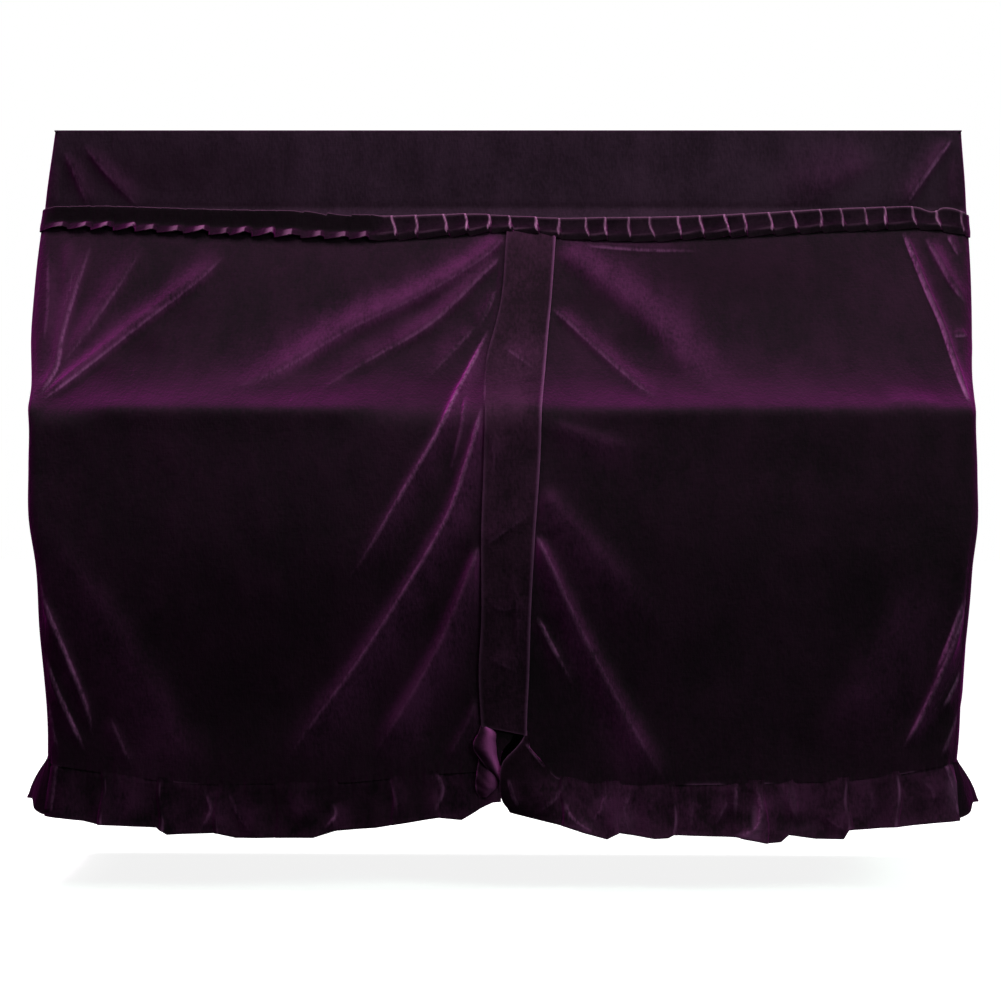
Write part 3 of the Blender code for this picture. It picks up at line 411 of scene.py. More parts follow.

# The cloth turned out at the parting: its fold, its free edge, and how far it stands proud.
FLAP = "share fold_x_mm fold_z_mm edge_x_mm edge_z_mm out_mm"
CURTAIN_FLAP = table(FLAP,
    (0, -22, -965, -30, -963, 0),
    (0.15, -9, -975, -34, -975, 6),
    (0.35, -8, -990, -42, -991, 10),
    (0.5, -7, -1002, -41, -1002, 11),
    (0.62, -6, -1013, -34, -1014, 10),
    (0.82, -1, -1032, -17, -1034, 7),
    (1, 1, -1050, -2, -1050, 3))
FLOUNCE_FLAP = table(FLAP,
    (0, -5, -1044, -34, -1018, 2),
    (0.3, -4, -1054, -37, -1040, 7),
    (0.7, -6, -1066, -38, -1064, 8),
    (1, -18, -1076, -32, -1078, 5))
FLAP_BASE = 0.0025          # how far the whole flap stands off the cloth beneath
FLAP_CREST = 0.40           # the share of its width at which it stands highest
FLAP_FALL = 0.45            # and how much of that height it loses by its free edge
FLAP_CRUMPLE = 0.0010


# ---- camera, light and floor ----
CAMERA_PLACE = (0.12, -5.97, -0.610)
CAMERA_YAW = radians(1.25)
CAMERA_ROLL = radians(-0.13)
CAMERA_LENS = 125.7
LAMPS = table("name place target size watts tint",
    ("front_light", (0.0, -0.9, 1.5), (0.0, -0.3, -0.4), (3.0, 1.2), 86.0, (1.0, 0.74, 0.95)),
    ("fill_light", (2.9, -3.2, 0.9), (0.3, -0.4, -0.5), (1.6, 1.2), 70.0, (0.74, 1.0, 0.84)),
    ("back_light", (0.0, 1.1, 1.5), (0.0, 0.3, -0.4), (3.0, 1.2), 40.0, (1.0, 1.0, 1.0)))
SUN_STRENGTH = 0.6
SUN_ANGLE = radians(80.0)
STUDIO_GLOW = 0.030         # how brightly the white studio lights the cloth
FLOOR_Z = -1.230            # the piano's casters hold the hem about 90 mm above the floor
FLOOR_SIZE = 60.0
FLOOR_GREY = (0.90, 0.90, 0.90)
WHITE = (1.0, 1.0, 1.0)
FLOOR_GLOW = 0.87           # keeps the floor as white as the studio around it


def placed(name, data):
    """A new object in the scene."""
    made = bpy.data.objects.new(name, data)
    bpy.context.scene.collection.objects.link(made)
    return made


def add_camera():
    data = bpy.data.cameras.new("camera")
    data.lens = CAMERA_LENS
    data.clip_end = 100.0
    camera = placed("camera", data)
    camera.location = CAMERA_PLACE
    camera.rotation_euler = (pi / 2, CAMERA_ROLL, CAMERA_YAW)
    bpy.context.scene.camera = camera


def add_lamp(lamp):
    data = bpy.data.lights.new(lamp.name, "AREA")
    data.shape = "RECTANGLE"
    data.size, data.size_y = lamp.size
    data.energy = lamp.watts
    data.color = lamp.tint
    light = placed(lamp.name, data)
    light.location = lamp.place
    way = np.array(lamp.target) - np.array(lamp.place)
    tilt = np.arctan2(np.hypot(way[0], way[1]), -way[2])
    light.rotation_euler = (tilt, 0.0, -np.arctan2(way[0], way[1]))


def add_sun():
    data = bpy.data.lights.new("soft_sun", "SUN")
    data.energy = SUN_STRENGTH
    data.angle = SUN_ANGLE
    placed("soft_sun", data)


def add_studio():
    """A studio that the camera sees white, and that lights the cloth only a little."""
    world = bpy.data.worlds.new("studio")
    world.use_nodes = True
    tree = world.node_tree
    seen = node(tree, "LightPath", {}, "Is Camera Ray")
    strength = node(tree, "MapRange", {"Value": seen, "To Min": STUDIO_GLOW, "To Max": 1.0}, "Result")
    feed(tree, tree.nodes["Background"], {"Color": WHITE, "Strength": strength})
    bpy.context.scene.world = world
    bpy.context.scene.view_settings.view_transform = "Standard"


def add_floor():
    bpy.ops.mesh.primitive_plane_add(size=FLOOR_SIZE, location=(0.0, 0.0, FLOOR_Z))
    floor = bpy.context.object
    floor.name = "floor"
    paint = bpy.data.materials.new("floor")
    paint.use_nodes = True
    feed(paint.node_tree, paint.node_tree.nodes["Principled BSDF"], {
        "Base Color": FLOOR_GREY, "Roughness": 0.9,
        "Emission Color": WHITE, "Emission Strength": FLOOR_GLOW})
    floor.data.materials.append(paint)
    floor.visible_diffuse = False
    floor.visible_glossy = False
    floor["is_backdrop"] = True


# ---- materials ----
CREST_HIGHLIGHT = (0.190, 0.078, 0.166)            # painted highlight along a crease or an edge,
FOLD_HIGHLIGHT = (0.056, 0.015, 0.046)            # painted highlight on the soft slope of a fold,
SHADOW = (0.0011, 0.0026, 0.0012)       # and painted shade
SHEEN_TINT = (0.80, 0.028, 0.61)

# The pile's darkest and palest colour, its painted highlight along creases and edges, its sheen and its
# patchiness.
VELVETS = table("name deep lit crease sheen patchy",
    ("velvet", (0.0026, 0.0050, 0.0032), (0.0104, 0.0066, 0.0090), CREST_HIGHLIGHT, 0.85, 0.3),
    ("velvet_flank", (0.0026, 0.0050, 0.0032), (0.0104, 0.0066, 0.0090), CREST_HIGHLIGHT, 0.40, 0.0),
    # velvet_shade is a darker, duller copy for painted shade on the side flounces. The two front frills
    # are one velvet in a darker copy, painted shade on the left, and a lighter one, painted light on the
    # right.
    ("velvet_shade", (0.0030, 0.0032, 0.0030), (0.0080, 0.0046, 0.0072), CREST_HIGHLIGHT, 0.14, 0.0),
    ("velvet_frill_left", (0.0022, 0.0026, 0.0026), (0.0150, 0.0060, 0.0124), CREST_HIGHLIGHT, 0.45, 1.1),
    ("velvet_frill_right", (0.0050, 0.0044, 0.0046), (0.0270, 0.0100, 0.0220), CREST_HIGHLIGHT, 0.70, 1.1),
    ("velvet_band", (0.0062, 0.0066, 0.0068), (0.0170, 0.0124, 0.0168), CREST_HIGHLIGHT, 0.85, 0.0),
    ("velvet_facing", (0.0064, 0.0050, 0.0056), (0.0225, 0.0098, 0.0180), CREST_HIGHLIGHT, 0.50, 0.5),
    ("velvet_turned", (0.0060, 0.0036, 0.0050), (0.0210, 0.0080, 0.0165), (0.20, 0.05, 0.16), 0.60, 0.0),
    ("velvet_lid", (0.0034, 0.0028, 0.0034), (0.0098, 0.0052, 0.0090), CREST_HIGHLIGHT, 0.25, 0.0),
    ("velvet_edging", (0.0008, 0.0014, 0.0011), (0.0052, 0.0038, 0.0048), (0.30, 0.15, 0.25), 0.38, 0.8))


def feed(tree, fed, values):
    """Set a node's inputs to numbers and colours, or link other nodes' outputs to them."""
    for name, value in values.items():
        socket = fed.inputs[name]
        if isinstance(value, bpy.types.NodeSocket):
            tree.links.new(value, socket)
        else:
            socket.default_value = (*value, 1.0) if socket.type == "RGBA" else value


def node(tree, kind, values, output, **settings):
    """The output of a new node with the given inputs and settings."""
    made = tree.nodes.new(f"ShaderNode{kind}")
    for name, setting in settings.items():
        setattr(made, name, setting)
    feed(tree, made, values)
    return made.outputs[output]


def velvet(name, deep, lit, crease, sheen, patchy):
    """Dark velvet: a mottled, grainy pile that runs down the cloth, with painted highlights and shade.

    The sheets carry the marks that it reads: "crest" is painted highlight, or painted shade if
    negative, and each layer of "creases_" is what creases() gives.
    """
    cloth = bpy.data.materials.new(name)
    cloth.use_nodes = True
    tree = cloth.node_tree
    place = node(tree, "TexCoord", {}, "Object")

    def noise(scale, detail, stretch=(1.0, 1.0, 1.0)):
        way = node(tree, "Mapping", {"Vector": place, "Scale": stretch}, "Vector")
        return node(tree, "TexNoise", {"Vector": way, "Scale": scale, "Detail": detail}, "Fac")

    def ranged(value, low, high):
        return node(tree, "MapRange", {"Value": value, "From Min": low, "From Max": high}, "Result")

    def added(value, times, more):
        return node(tree, "Math", {0: value, 1: times, 2: more}, 0, operation="MULTIPLY_ADD")

    def combined(operation, first, second):
        return node(tree, "Math", {0: first, 1: second}, 0, operation=operation)

    def mix(factor, low, high):
        colours = {"Factor": factor, "A": low, "B": high}
        return node(tree, "Mix", colours, "Result", data_type="RGBA")

    mottle = noise(11.0, 4.0, (1.0, 0.5, 0.7))
    patches = noise(30.0, 4.0)
    streaks = noise(42.0, 3.0, (1.0, 0.35, 0.30))
    weft = noise(230.0, 2.0, (0.35, 0.35, 1.6))
    nap = noise(260.0, 3.0, (1.0, 0.5, 0.45))
    blotches = added(patches, patchy, -0.60 - patchy / 2)
    tone = added(streaks, 0.40, added(nap, 0.75, added(mottle, 0.85, blotches)))
    colour = mix(ranged(tone, 0.18, 0.62), deep, lit)
    # noise that breaks the painted highlight lines along crests into patches
    highlight_patchiness = added(ranged(added(streaks, 0.8, added(patches, 0.6, nap)), 1.00, 1.36), 0.80, 0.20)
    pale = node(tree, "Attribute", {}, "Fac", attribute_name="crest")
    # a negative crest mixes the colour towards SHADOW: painted shade
    colour = mix(ranged(pale, 0.0, -1.0), colour, SHADOW)
    for n in range(CREASE_LAYERS):
        marks = node(tree, "Attribute", {}, "Vector", attribute_name=f"creases_{n}")
        away, strength, glow = node(tree, "SeparateXYZ", {"Vector": marks}, "X").node.outputs
        edges = combined("MULTIPLY", ranged(away, *LINE_SHARP_EDGE), ranged(away, *LINE_SOFT_EDGE))
        line = combined("MULTIPLY", edges, strength)
        pale = combined("MAXIMUM", pale, combined("MULTIPLY", line, highlight_patchiness))
        # painted highlight on the soft slope of each fold
        colour = mix(combined("MULTIPLY", glow, ranged(tone, 0.04, 0.58)), colour, FOLD_HIGHLIGHT)
    pile = added(nap, 0.6, added(weft, 0.25, added(streaks, 0.9, added(mottle, 3.6, 0.0))))
    bump = {"Height": added(pale, 0.30, pile), "Strength": 1.0, "Distance": 0.0016}

    feed(tree, tree.nodes["Principled BSDF"], {
        "Base Color": mix(pale, colour, crease), "Roughness": 0.85, "Specular IOR Level": 0.02,
        "Sheen Weight": sheen, "Sheen Roughness": 0.40, "Sheen Tint": SHEEN_TINT,
        "Normal": node(tree, "Bump", bump, "Normal")})
    return cloth


# ---- curves ----
def smooth(share):
    """0 to 1 with level ends, as share goes from 0 to 1."""
    share = np.clip(share, 0.0, 1.0)
    return share * share * (3.0 - 2.0 * share)


def blend(start, end, share):
    return start + (end - start) * share


def hump(way, width):
    """A bell of height 1 about 0."""
    return np.exp(-(way / width) ** 2)


def column(rows, name):
    return np.array([getattr(row, name) for row in rows])


def read(rows, key, name, at):
    """The smooth curve through a table's column, read at the given values of its key column."""
    keys, values = column(rows, key), column(rows, name)
    if keys[0] > keys[-1]:
        keys, values = keys[::-1], values[::-1]
    slopes = np.gradient(values, keys)
    at = np.clip(at, keys[0], keys[-1])
    i = np.clip(np.searchsorted(keys, at) - 1, 0, len(keys) - 2)
    step = keys[i + 1] - keys[i]
    t = (at - keys[i]) / step
    ahead = t * t * (3.0 - 2.0 * t)
    start_pull = t * (1.0 - t) ** 2 * step * slopes[i]
    end_pull = t * t * (t - 1.0) * step * slopes[i + 1]
    return blend(values[i], values[i + 1], ahead) + start_pull + end_pull


def straight(rows, at):
    """The line through a seam's points, with its corners kept."""
    return np.interp(at, column(rows, "x"), column(rows, "z"))


def curve_through(points, steps=8):
    """A smooth curve through a few points, as a row of short straight steps."""
    points = np.array(points)
    slopes = np.gradient(points, axis=0)
    fine = np.linspace(0.0, len(points) - 1.0, steps * (len(points) - 1) + 1)
    i = np.clip(fine.astype(int), 0, len(points) - 2)
    t = (fine - i)[:, None]
    pull = t * (1.0 - t) ** 2 * slopes[i] + t * t * (t - 1.0) * slopes[i + 1]
    return blend(points[i], points[i + 1], smooth(t)) + pull


# ---- the walls ----
OUTWARD = {"front": 1.0, "right": 1.0, "left": -1.0, "back": -1.0}


def front_reach(z, rounding):
    """How far the front stands out: plumb under the lid, out to the keyboard, plumb below it."""
    fall = np.clip((PLUMB_Z - z) / (PLUMB_Z - RIDGE_Z), 0.0, None)
    swing = KEYBED_REACH * (TAUT * fall + (1.0 - TAUT) * fall ** SWING_POWER)
    drift = HEM_DRIFT * smooth((KEYBED_BOTTOM_Z - z) / (KEYBED_BOTTOM_Z - HEM_Z))
    plumb = KEYBED_REACH + LID_CLEARANCE - drift
    return -rounding * np.logaddexp(-swing / rounding, -plumb / rounding)


def front_y(z):
    belly = BELLY * smooth((RIDGE_Z - z) / BELLY_RISE) * smooth((z - HEM_Z) / BELLY_FALL)
    return -(LID_DEPTH / 2 + LID_CLEARANCE + front_reach(z, RIDGE_ROUNDING) + belly)


def ridge_give(x, z):
    """How much less the front stands out where its ridge is softly rounded."""
    share = np.clip(read(RIDGE_SOFTNESS, "x", "share", x), 0.0, 1.0)
    return share * (front_reach(z, RIDGE_ROUNDING) - front_reach(z, SOFT_ROUNDING))


def front_corners(z):
    """The front's half-widths, left and right of the middle, and its corners' radius."""
    left = read(FRONT_CORNERS, "z", "left", z) - CLOTH
    right = read(FRONT_CORNERS, "z", "right", z) - CLOTH
    return left, right, read(FRONT_CORNERS, "z", "radius", z)


def back_half_width(z):
    return BACK_HALF_WIDTH - CLOTH - BACK_TAPER * smooth(z / HEM_Z)


def seams(side, z):
    """Where a wall's two vertical seams lie, in the middle of the rounded corners."""
    left, right, radius = front_corners(z)
    front_arc = radius * (1.0 - pi / 4)
    back_arc = BACK_RADIUS * (1.0 - pi / 4)
    if side == "front":
        return -left + front_arc, right - front_arc
    if side == "back":
        return -back_half_width(z) + back_arc, back_half_width(z) - back_arc
    return front_y(z) + front_arc, np.full_like(z, BACK_Y - back_arc)


def round_ends(place, low, high, low_radius, high_radius):
    """Bend the ends of a straight wall round its corners: the way along it, and the inset."""
    low_turn = np.clip((low + low_radius - place) / low_radius, 0.0, pi / 2)
    high_turn = np.clip((place - high + high_radius) / high_radius, 0.0, pi / 2)
    along = np.clip(place, low + low_radius, high - high_radius)
    along = along - low_radius * np.sin(low_turn) + high_radius * np.sin(high_turn)
    inset = low_radius * (1 - np.cos(low_turn)) + high_radius * (1 - np.cos(high_turn))
    return along, inset


def wall(side, place, z):
    """A point of a wall before it has any folds."""
    near, far = front_y(z), np.full_like(z, BACK_Y)
    left, right, radius = front_corners(z)
    back_radius = np.full_like(z, BACK_RADIUS)
    if side == "front":
        x, inset = round_ends(place, -left, right, radius, radius)
        y = near + inset + ridge_give(place, z)
    elif side == "back":
        half = back_half_width(z)
        x, inset = round_ends(place, -half, half, back_radius, back_radius)
        y = far - inset
    else:
        y, inset = round_ends(place, near, far, radius, back_radius)
        x = right - inset if side == "right" else inset - left
    if side != "back":
        front_half = np.where(x > 0, right, left)
        x = x * blend(1.0, back_half_width(z) / front_half, (y - near) / (far - near))
    return np.stack([x, y, z], axis=-1)


def wall_normal(side, place, z):
    """The outward direction at a point of a wall."""
    step = 0.002
    along = wall(side, place + step, z) - wall(side, place - step, z)
    up = wall(side, place, z + step) - wall(side, place, z - step)
    normal = np.cross(along, up) * OUTWARD[side]
    return normal / np.linalg.norm(normal, axis=-1, keepdims=True)


# ---- folds on the walls ----
def measure(path, points):
    """Signed distance from a fold's crest, above it positive, and the share of its length."""
    distance = np.full(len(points), np.inf)
    share = np.zeros(len(points))
    steps = len(path) - 1
    rightward = np.sign(path[-1, 0] - path[0, 0]) or 1.0
    for i in range(steps):
        run = path[i + 1] - path[i]
        way = np.clip((points - path[i]) @ run / (run @ run), 0.0, 1.0)
        off = points - path[i] - way[:, None] * run
        above = np.sign(run[0] * off[:, 1] - run[1] * off[:, 0]) * rightward
        away = np.hypot(off[:, 0], off[:, 1])
        nearer = away < np.abs(distance)
        distance = np.where(nearer, away * above, distance)
        share = np.where(nearer, (i + way) / steps, share)
    return distance, share


def near_folds(folds, points, reach):
    """Walk the folds that have points within reach.

    With each fold go those points, their distance from its crest, positive on its soft side, and
    their share of its length.
    """
    for n, fold in enumerate(folds):
        path = curve_through(fold.path)
        low, high = path.min(0) - reach(fold), path.max(0) + reach(fold)
        near = np.flatnonzero(np.all((points > low) & (points < high), axis=1))
        if len(near):
            distance, share = measure(path, points[near])
            yield n, fold, near, fold.soft * distance, share


def folded(folds, place, z):
    """How far a table of folds lifts the cloth at each point."""
    def reach(fold):
        return FOLD_REACH * max(fold.width0, fold.width1)

    lift = np.zeros_like(z)
    points = np.stack([place, z], axis=-1)
    for _, fold, near, away, share in near_folds(folds, points, reach):
        across = away / blend(fold.width0, fold.width1, share)
        across = np.where(across > 0, across / SOFT_SIDE, across)
        crease = np.exp(-CREASE_FALL * np.abs(across))
        hollow = np.clip(-across, 0.0, None) / TROUGH_AWAY
        profile = blend(hump(across, 1.0), crease, sharpness(fold, share))
        profile -= TROUGH * hollow * np.exp(1.0 - hollow)
        lift[near] += fold.height * profile * fading(fold, share)
    return lift


def fading(fold, share):
    return smooth(share / fold.rise) * smooth((1 - share) / (1 - fold.hold))


def sharpness(fold, share):
    """How sharp the crest is: it softens where the fold widens."""
    return fold.crisp * np.minimum(fold.width0 / blend(fold.width0, fold.width1, share), 1.0)


def creases(folds, place, z):
    """Where painted highlights lie along the folds' crests and on their soft slopes, for the velvet's
    shader.

    Each layer has three columns: the distance from the nearest crest, positive on its soft side,
    how strong a painted highlight line the crest is, and how much painted highlight its slopes get.
    Neighbouring folds go to different layers, because a distance can't be read between two crests.
    """
    layers = np.zeros((CREASE_LAYERS, len(z), 3))
    layers[:, :, 0] = 1.0
    points = np.stack([place, z], axis=-1)
    for n, fold, near, away, share in near_folds(folds, points, lambda fold: CREASE_REACH):
        fade = fading(fold, share)
        across = away / blend(fold.width0, fold.width1, share)
        glow = np.where(across > 0, hump(across, GLOW_SOFT), hump(across, GLOW_SHARP))
        glow = glow * fold.height / FULL_GLOW
        layer = layers[n % CREASE_LAYERS]
        layer[near, 2] = np.maximum(layer[near, 2], glow * fade)
        nearest = np.abs(away) < np.abs(layer[near, 0])
        layer[near[nearest], 0] = away[nearest]
        line = sharpness(fold, share) * fade * smooth(2.0 - np.abs(away) / LINE_REACH)
        layer[near[nearest], 1] = line[nearest]
    return layers


def swell(place, z):
    """Slow waves in the cloth, and small ones that break up its shine.

    Here and in the strips below, the factors of place and z are wave numbers, in radians a metre.
    They were picked one by one, and share no short period, so that no wave repeats along the cover.
    """
    slow = np.sin(5.1 * place + 7.0 * z + 0.7) + np.sin(-3.3 * place + 11.0 * z + 2.1)
    quick = np.sin(31.0 * place - 17.0 * z + 3.0 * np.sin(9.0 * place + 13.0 * z))
    quicker = np.sin(-47.0 * place - 38.0 * z + 2.0 * np.sin(23.0 * place - 11.0 * z))
    return SWELL * (0.5 * slow + 0.10 * quick + 0.06 * quicker)


def off_corners(place, low, high):
    """1 along a wall, fading to 0 at its two seams."""
    return smooth((place - low) / EDGE_FADE) * smooth((high - place) / EDGE_FADE)


def relief(side, place, z):
    """How far the folds lift a wall's cloth off its plain shape."""
    fade = off_corners(place, *seams(side, z))
    if side != "front":
        folds = BACK_FOLDS if side == "back" else SIDE_FOLDS
        shift = SIDE_SHIFT if side == "right" else 0.0
        waves = swell(place + WAVE_SHIFT * shift, z) * smooth(-z / LID_FADE)
        return (folded(folds, place - shift, z) + waves) * fade
    below_yoke = smooth((YOKE_Z - z - SEAM_CLEAR) / SEAM_FADE)
    on_left = smooth((placket_left(z) - place) / PLACKET_FADE) * below_yoke
    on_right = smooth((place - placket_right(z)) / PLACKET_FADE) * below_yoke
    on_yoke = smooth((z - YOKE_Z - YOKE_CLEAR) / YOKE_FADE)
    lift = sum(folded(folds, place, z) * share for folds, share in (
        (LEFT_CURTAIN_FOLDS, on_left), (RIGHT_CURTAIN_FOLDS, on_right), (YOKE_FOLDS, on_yoke)))
    slack = smooth(abs(z - RIDGE_Z) / SLACK_FADE) * smooth((YOKE_Z - z) / SLACK_FADE)
    return (lift + swell(place, z) * slack) * fade


def hang(side, place, z, lift=0.0, fold_place=None, fold_z=None):
    """Points of the hanging cloth, lifted off the folds of the wall there, and its directions."""
    fold_place = place if fold_place is None else fold_place
    fold_z = z if fold_z is None else fold_z
    out = relief(side, fold_place, fold_z)
    normal = wall_normal(side, place, z)
    return wall(side, place, z) + normal * (out + lift)[:, None], normal


def painted_light(x, z):
    """How much painted highlight, or painted shade where negative, each point of the front gets."""
    paler = np.zeros_like(x)
    for patch in SHADE_AND_HIGHLIGHT_PATCHES:
        away = ((x - patch.x) / patch.width) ** 2 + ((z - patch.z) / patch.height) ** 2
        paler += patch.paler * np.exp(-away)
    return paler


# ---- how each piece is laid on its wall ----
def layout(low_edge, high_edge, top_edge, bottom_edge):
    """Spread a piece between four edges: functions of z for the first two, of place for the rest."""
    def spread(u, v):
        z = np.full_like(u, (YOKE_Z + HEM_Z) / 2)
        for _ in range(8):
            place = blend(low_edge(z), high_edge(z), u)
            z = blend(top_edge(place), bottom_edge(place), v)
        return blend(low_edge(z), high_edge(z), u), z
    return spread


def level(height):
    return lambda place: np.full_like(place, height)


def curve(rows, key, name):
    return lambda at: read(rows, key, name, at)


def seam(rows):
    return lambda x: straight(rows, x)


def low_seam(side):
    return lambda z: seams(side, z)[0]


def high_seam(side):
    return lambda z: seams(side, z)[1]


trim_top = curve(TRIM_LINES, "x", "top")
trim_bottom = curve(TRIM_LINES, "x", "bottom")
placket_left = curve(PLACKET_EDGES, "z", "left")
placket_right = curve(PLACKET_EDGES, "z", "right")


def yoke_seam(x):
    return trim_top(x) - TRIM_ROOT


def left_curtain_edge(z):
    behind = placket_right(z) - BEHIND_PLACKET
    strayed = read(LEFT_CURTAIN_EDGE, "z", "x", z)
    return np.where(z > LEFT_CURTAIN_EDGE[0].z, behind, np.minimum(behind, strayed))


def placket_end(x):
    share = (x - placket_left(PLACKET_END_LEFT_Z)) / PLACKET_END_WIDTH
    return blend(PLACKET_END_LEFT_Z, PLACKET_END_RIGHT_Z, np.clip(share, 0.0, 1.0))


def right_curtain_start(z):
    return placket_right(z) - UNDER_PLACKET * smooth((z - PLACKET_END_RIGHT_Z) / 0.02)


YOKE = layout(low_seam("front"), high_seam("front"), level(UNDER_LID), yoke_seam)
LEFT_CURTAIN = layout(low_seam("front"), left_curtain_edge, yoke_seam, seam(SEAM_LEFT))
RIGHT_CURTAIN = layout(right_curtain_start, high_seam("front"), yoke_seam, seam(SEAM_RIGHT))
PLACKET = layout(placket_left, placket_right, lambda x: trim_bottom(x) + PLACKET_TUCK, placket_end)
PANELS = {side: layout(low_seam(side), high_seam(side), level(UNDER_LID), level(SIDE_SEAM_Z))
          for side in ("left", "right", "back")}


# ---- pieces ----
SHARP_ANGLE = radians(65.0)


def lines(count, centre=0.5, width=0.1, extra=0.0):
    """Grid lines from 0 to 1, closer together about a centre."""
    fine = np.linspace(0.0, 1.0, 2001)
    density = np.cumsum(1.0 + extra * hump(fine - centre, width))
    return np.interp(np.linspace(density[0], density[-1], count + 1), density, fine)


def quads(across, down, skip, row, first=0):
    """The faces of a grid of points, or of every skip-th point of it, all the same way round."""
    i, j = np.meshgrid(np.arange(0, down, skip), np.arange(0, across, skip), indexing="ij")
    corner = (i * row + j).ravel() + first
    return np.stack([corner, corner + skip * row, corner + skip * row + skip, corner + skip], axis=-1)


def rim(columns, rows, skip, count):
    """The faces round a sheet's edge, from every skip-th point of its inner face to the outer."""
    row = columns + 1
    last = rows * row
    ring = np.concatenate([np.arange(0, columns), np.arange(columns, last + columns, row),
                           np.arange(last + columns, last, -1), np.arange(last, 0, -row)])
    faces = []
    for i in range(0, len(ring), skip):
        outside = [ring[(i + k) % len(ring)] + count for k in range(skip + 1)]
        faces.append([int(n) for n in outside + [ring[(i + skip) % len(ring)], ring[i]]])
    return faces


def sheet(name, stands_for, shape, across, down, finish, thickness=CLOTH, skip=1, folds=(), axis=0):
    """A sheet of cloth: a fine grid on shape(u, v), with its painted highlights and shade, made thick.

    It stands for one of the model's solids. folds are the table of folds whose crests get painted
    highlights on it, and axis is the one that its wall runs along, 0 for x and 1 for y. The inner
    face, which nobody sees, uses every skip-th point of the grid.
    """
    columns, rows = len(across) - 1, len(down) - 1
    u, v = np.meshgrid(across, down)
    inner, outward, pale = shape(u.ravel(), v.ravel())
    grid = inner.reshape(rows + 1, columns + 1, 3)
    normal = np.cross(np.gradient(grid, axis=0), np.gradient(grid, axis=1)).reshape(-1, 3)
    normal /= np.linalg.norm(normal, axis=-1, keepdims=True)
    flipped = (normal * outward).sum() < 0
    outer = inner + thickness * normal * (-1 if flipped else 1)
    row, count = columns + 1, len(inner)
    faces = quads(columns, rows, 1, row, count).tolist()
    faces += quads(columns, rows, skip, row)[:, ::-1].tolist() + rim(columns, rows, skip, count)
    if flipped:
        faces = [face[::-1] for face in faces]
    used = np.unique(np.concatenate([np.array(face) for face in faces]))
    place_of = np.full(2 * count, -1)
    place_of[used] = np.arange(len(used))
    mesh = bpy.data.meshes.new(name)
    mesh.from_pydata(np.concatenate([inner, outer])[used].tolist(), [],
                     [place_of[face].tolist() for face in faces])
    # painted highlight, or painted shade where negative
    crest = mesh.attributes.new("crest", "FLOAT", "POINT")
    crest.data.foreach_set("value", np.clip(np.tile(pale, 2)[used], -1.0, 1.0).astype(np.float32))
    for n, layer in enumerate(creases(folds, inner[:, axis], inner[:, 2])):
        marks = mesh.attributes.new(f"creases_{n}", "FLOAT_VECTOR", "POINT")
        marks.data.foreach_set("vector", np.tile(layer, (2, 1))[used].ravel().astype(np.float32))
    mesh.materials.append(finish)
    mesh.shade_smooth()
    mesh.set_sharp_from_angle(angle=SHARP_ANGLE)
    piece = placed(name, mesh)
    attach(piece, "root")
    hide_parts(stands_for)
    return piece


def on_wall(side, spread, extra=None):
    """The shape of a piece that hangs straight on a wall."""
    def shape(u, v):
        place, z = spread(u, v)
        lift, pale = extra(place, z, u, v) if extra else (0.0, np.zeros_like(z))
        points, normal = hang(side, place, z, lift)
        if side == "front":
            pale = pale + painted_light(place, z)
        return points, normal, pale
    return shape


def gathers(place, away):
    """Small puckers along a gathered seam, fading with the distance from it."""
    ripple = np.sin(place * 590.0 + 2.0 * np.sin(place * 37.0)) + np.sin(place * 331.0 + 1.3)
    return PUCKER * ripple * np.exp(-np.abs(away) / PUCKER_REACH)


def curtain_hem(place, z, u, v):
    """The curtain's sewn lower edge: puckers above it, and a patchy painted highlight line."""
    away = z - straight(SEAM_LEFT if place.mean() < 0 else SEAM_RIGHT, place)
    patches = smooth(np.sin(place * 23.0) + np.sin(place * 61.0 + 1.0))
    return gathers(place, away), HEM_LINE_PALE * hump(away, HEM_LINE_WIDTH) * patches


def right_curtain_edge(place, z, u, v):
    """The same for the right curtain, which climbs a little towards the placket sewn to it."""
    hem_lift, hem_pale = curtain_hem(place, z, u, v)
    climb = smooth(1.0 - (place - placket_right(z)) / CLIMB_WIDTH)
    return hem_lift + CLIMB * climb, hem_pale


def placket_edges(place, z, u, v):
    """The placket lies over both curtains, with small wrinkles and a rolled edge on each side."""
    lift = folded(PLACKET_FOLDS, place, z)
    from_left, from_right = place - placket_left(z), placket_right(z) - place
    roll_right = ROLL_RIGHT * hump(from_right - ROLL_WIDTH, ROLL_WIDTH)
    roll_left = ROLL_LEFT * hump(from_left - ROLL_WIDTH, ROLL_WIDTH)
    pale_left = blend(PALE_LEFT_ABOVE, PALE_LEFT_BELOW, smooth((-0.50 - z) / 0.15))
    # painted highlights along both rolled edges and the lower end
    edges = PALE_RIGHT * hump(from_right, PALE_WIDTH) + pale_left * hump(from_left, PALE_WIDTH)
    end = PALE_END * hump(v - 1.0, 0.002)
    return LAP + np.maximum(lift, 0.0) + (roll_right + roll_left), edges + end


def knife(phase, crest):
    """Height across one pleat: a slow rise to its crest, then a sharp drop."""
    return np.where(phase < crest, (phase / crest) ** 1.3, smooth((1.0 - phase) / (1.0 - crest)))


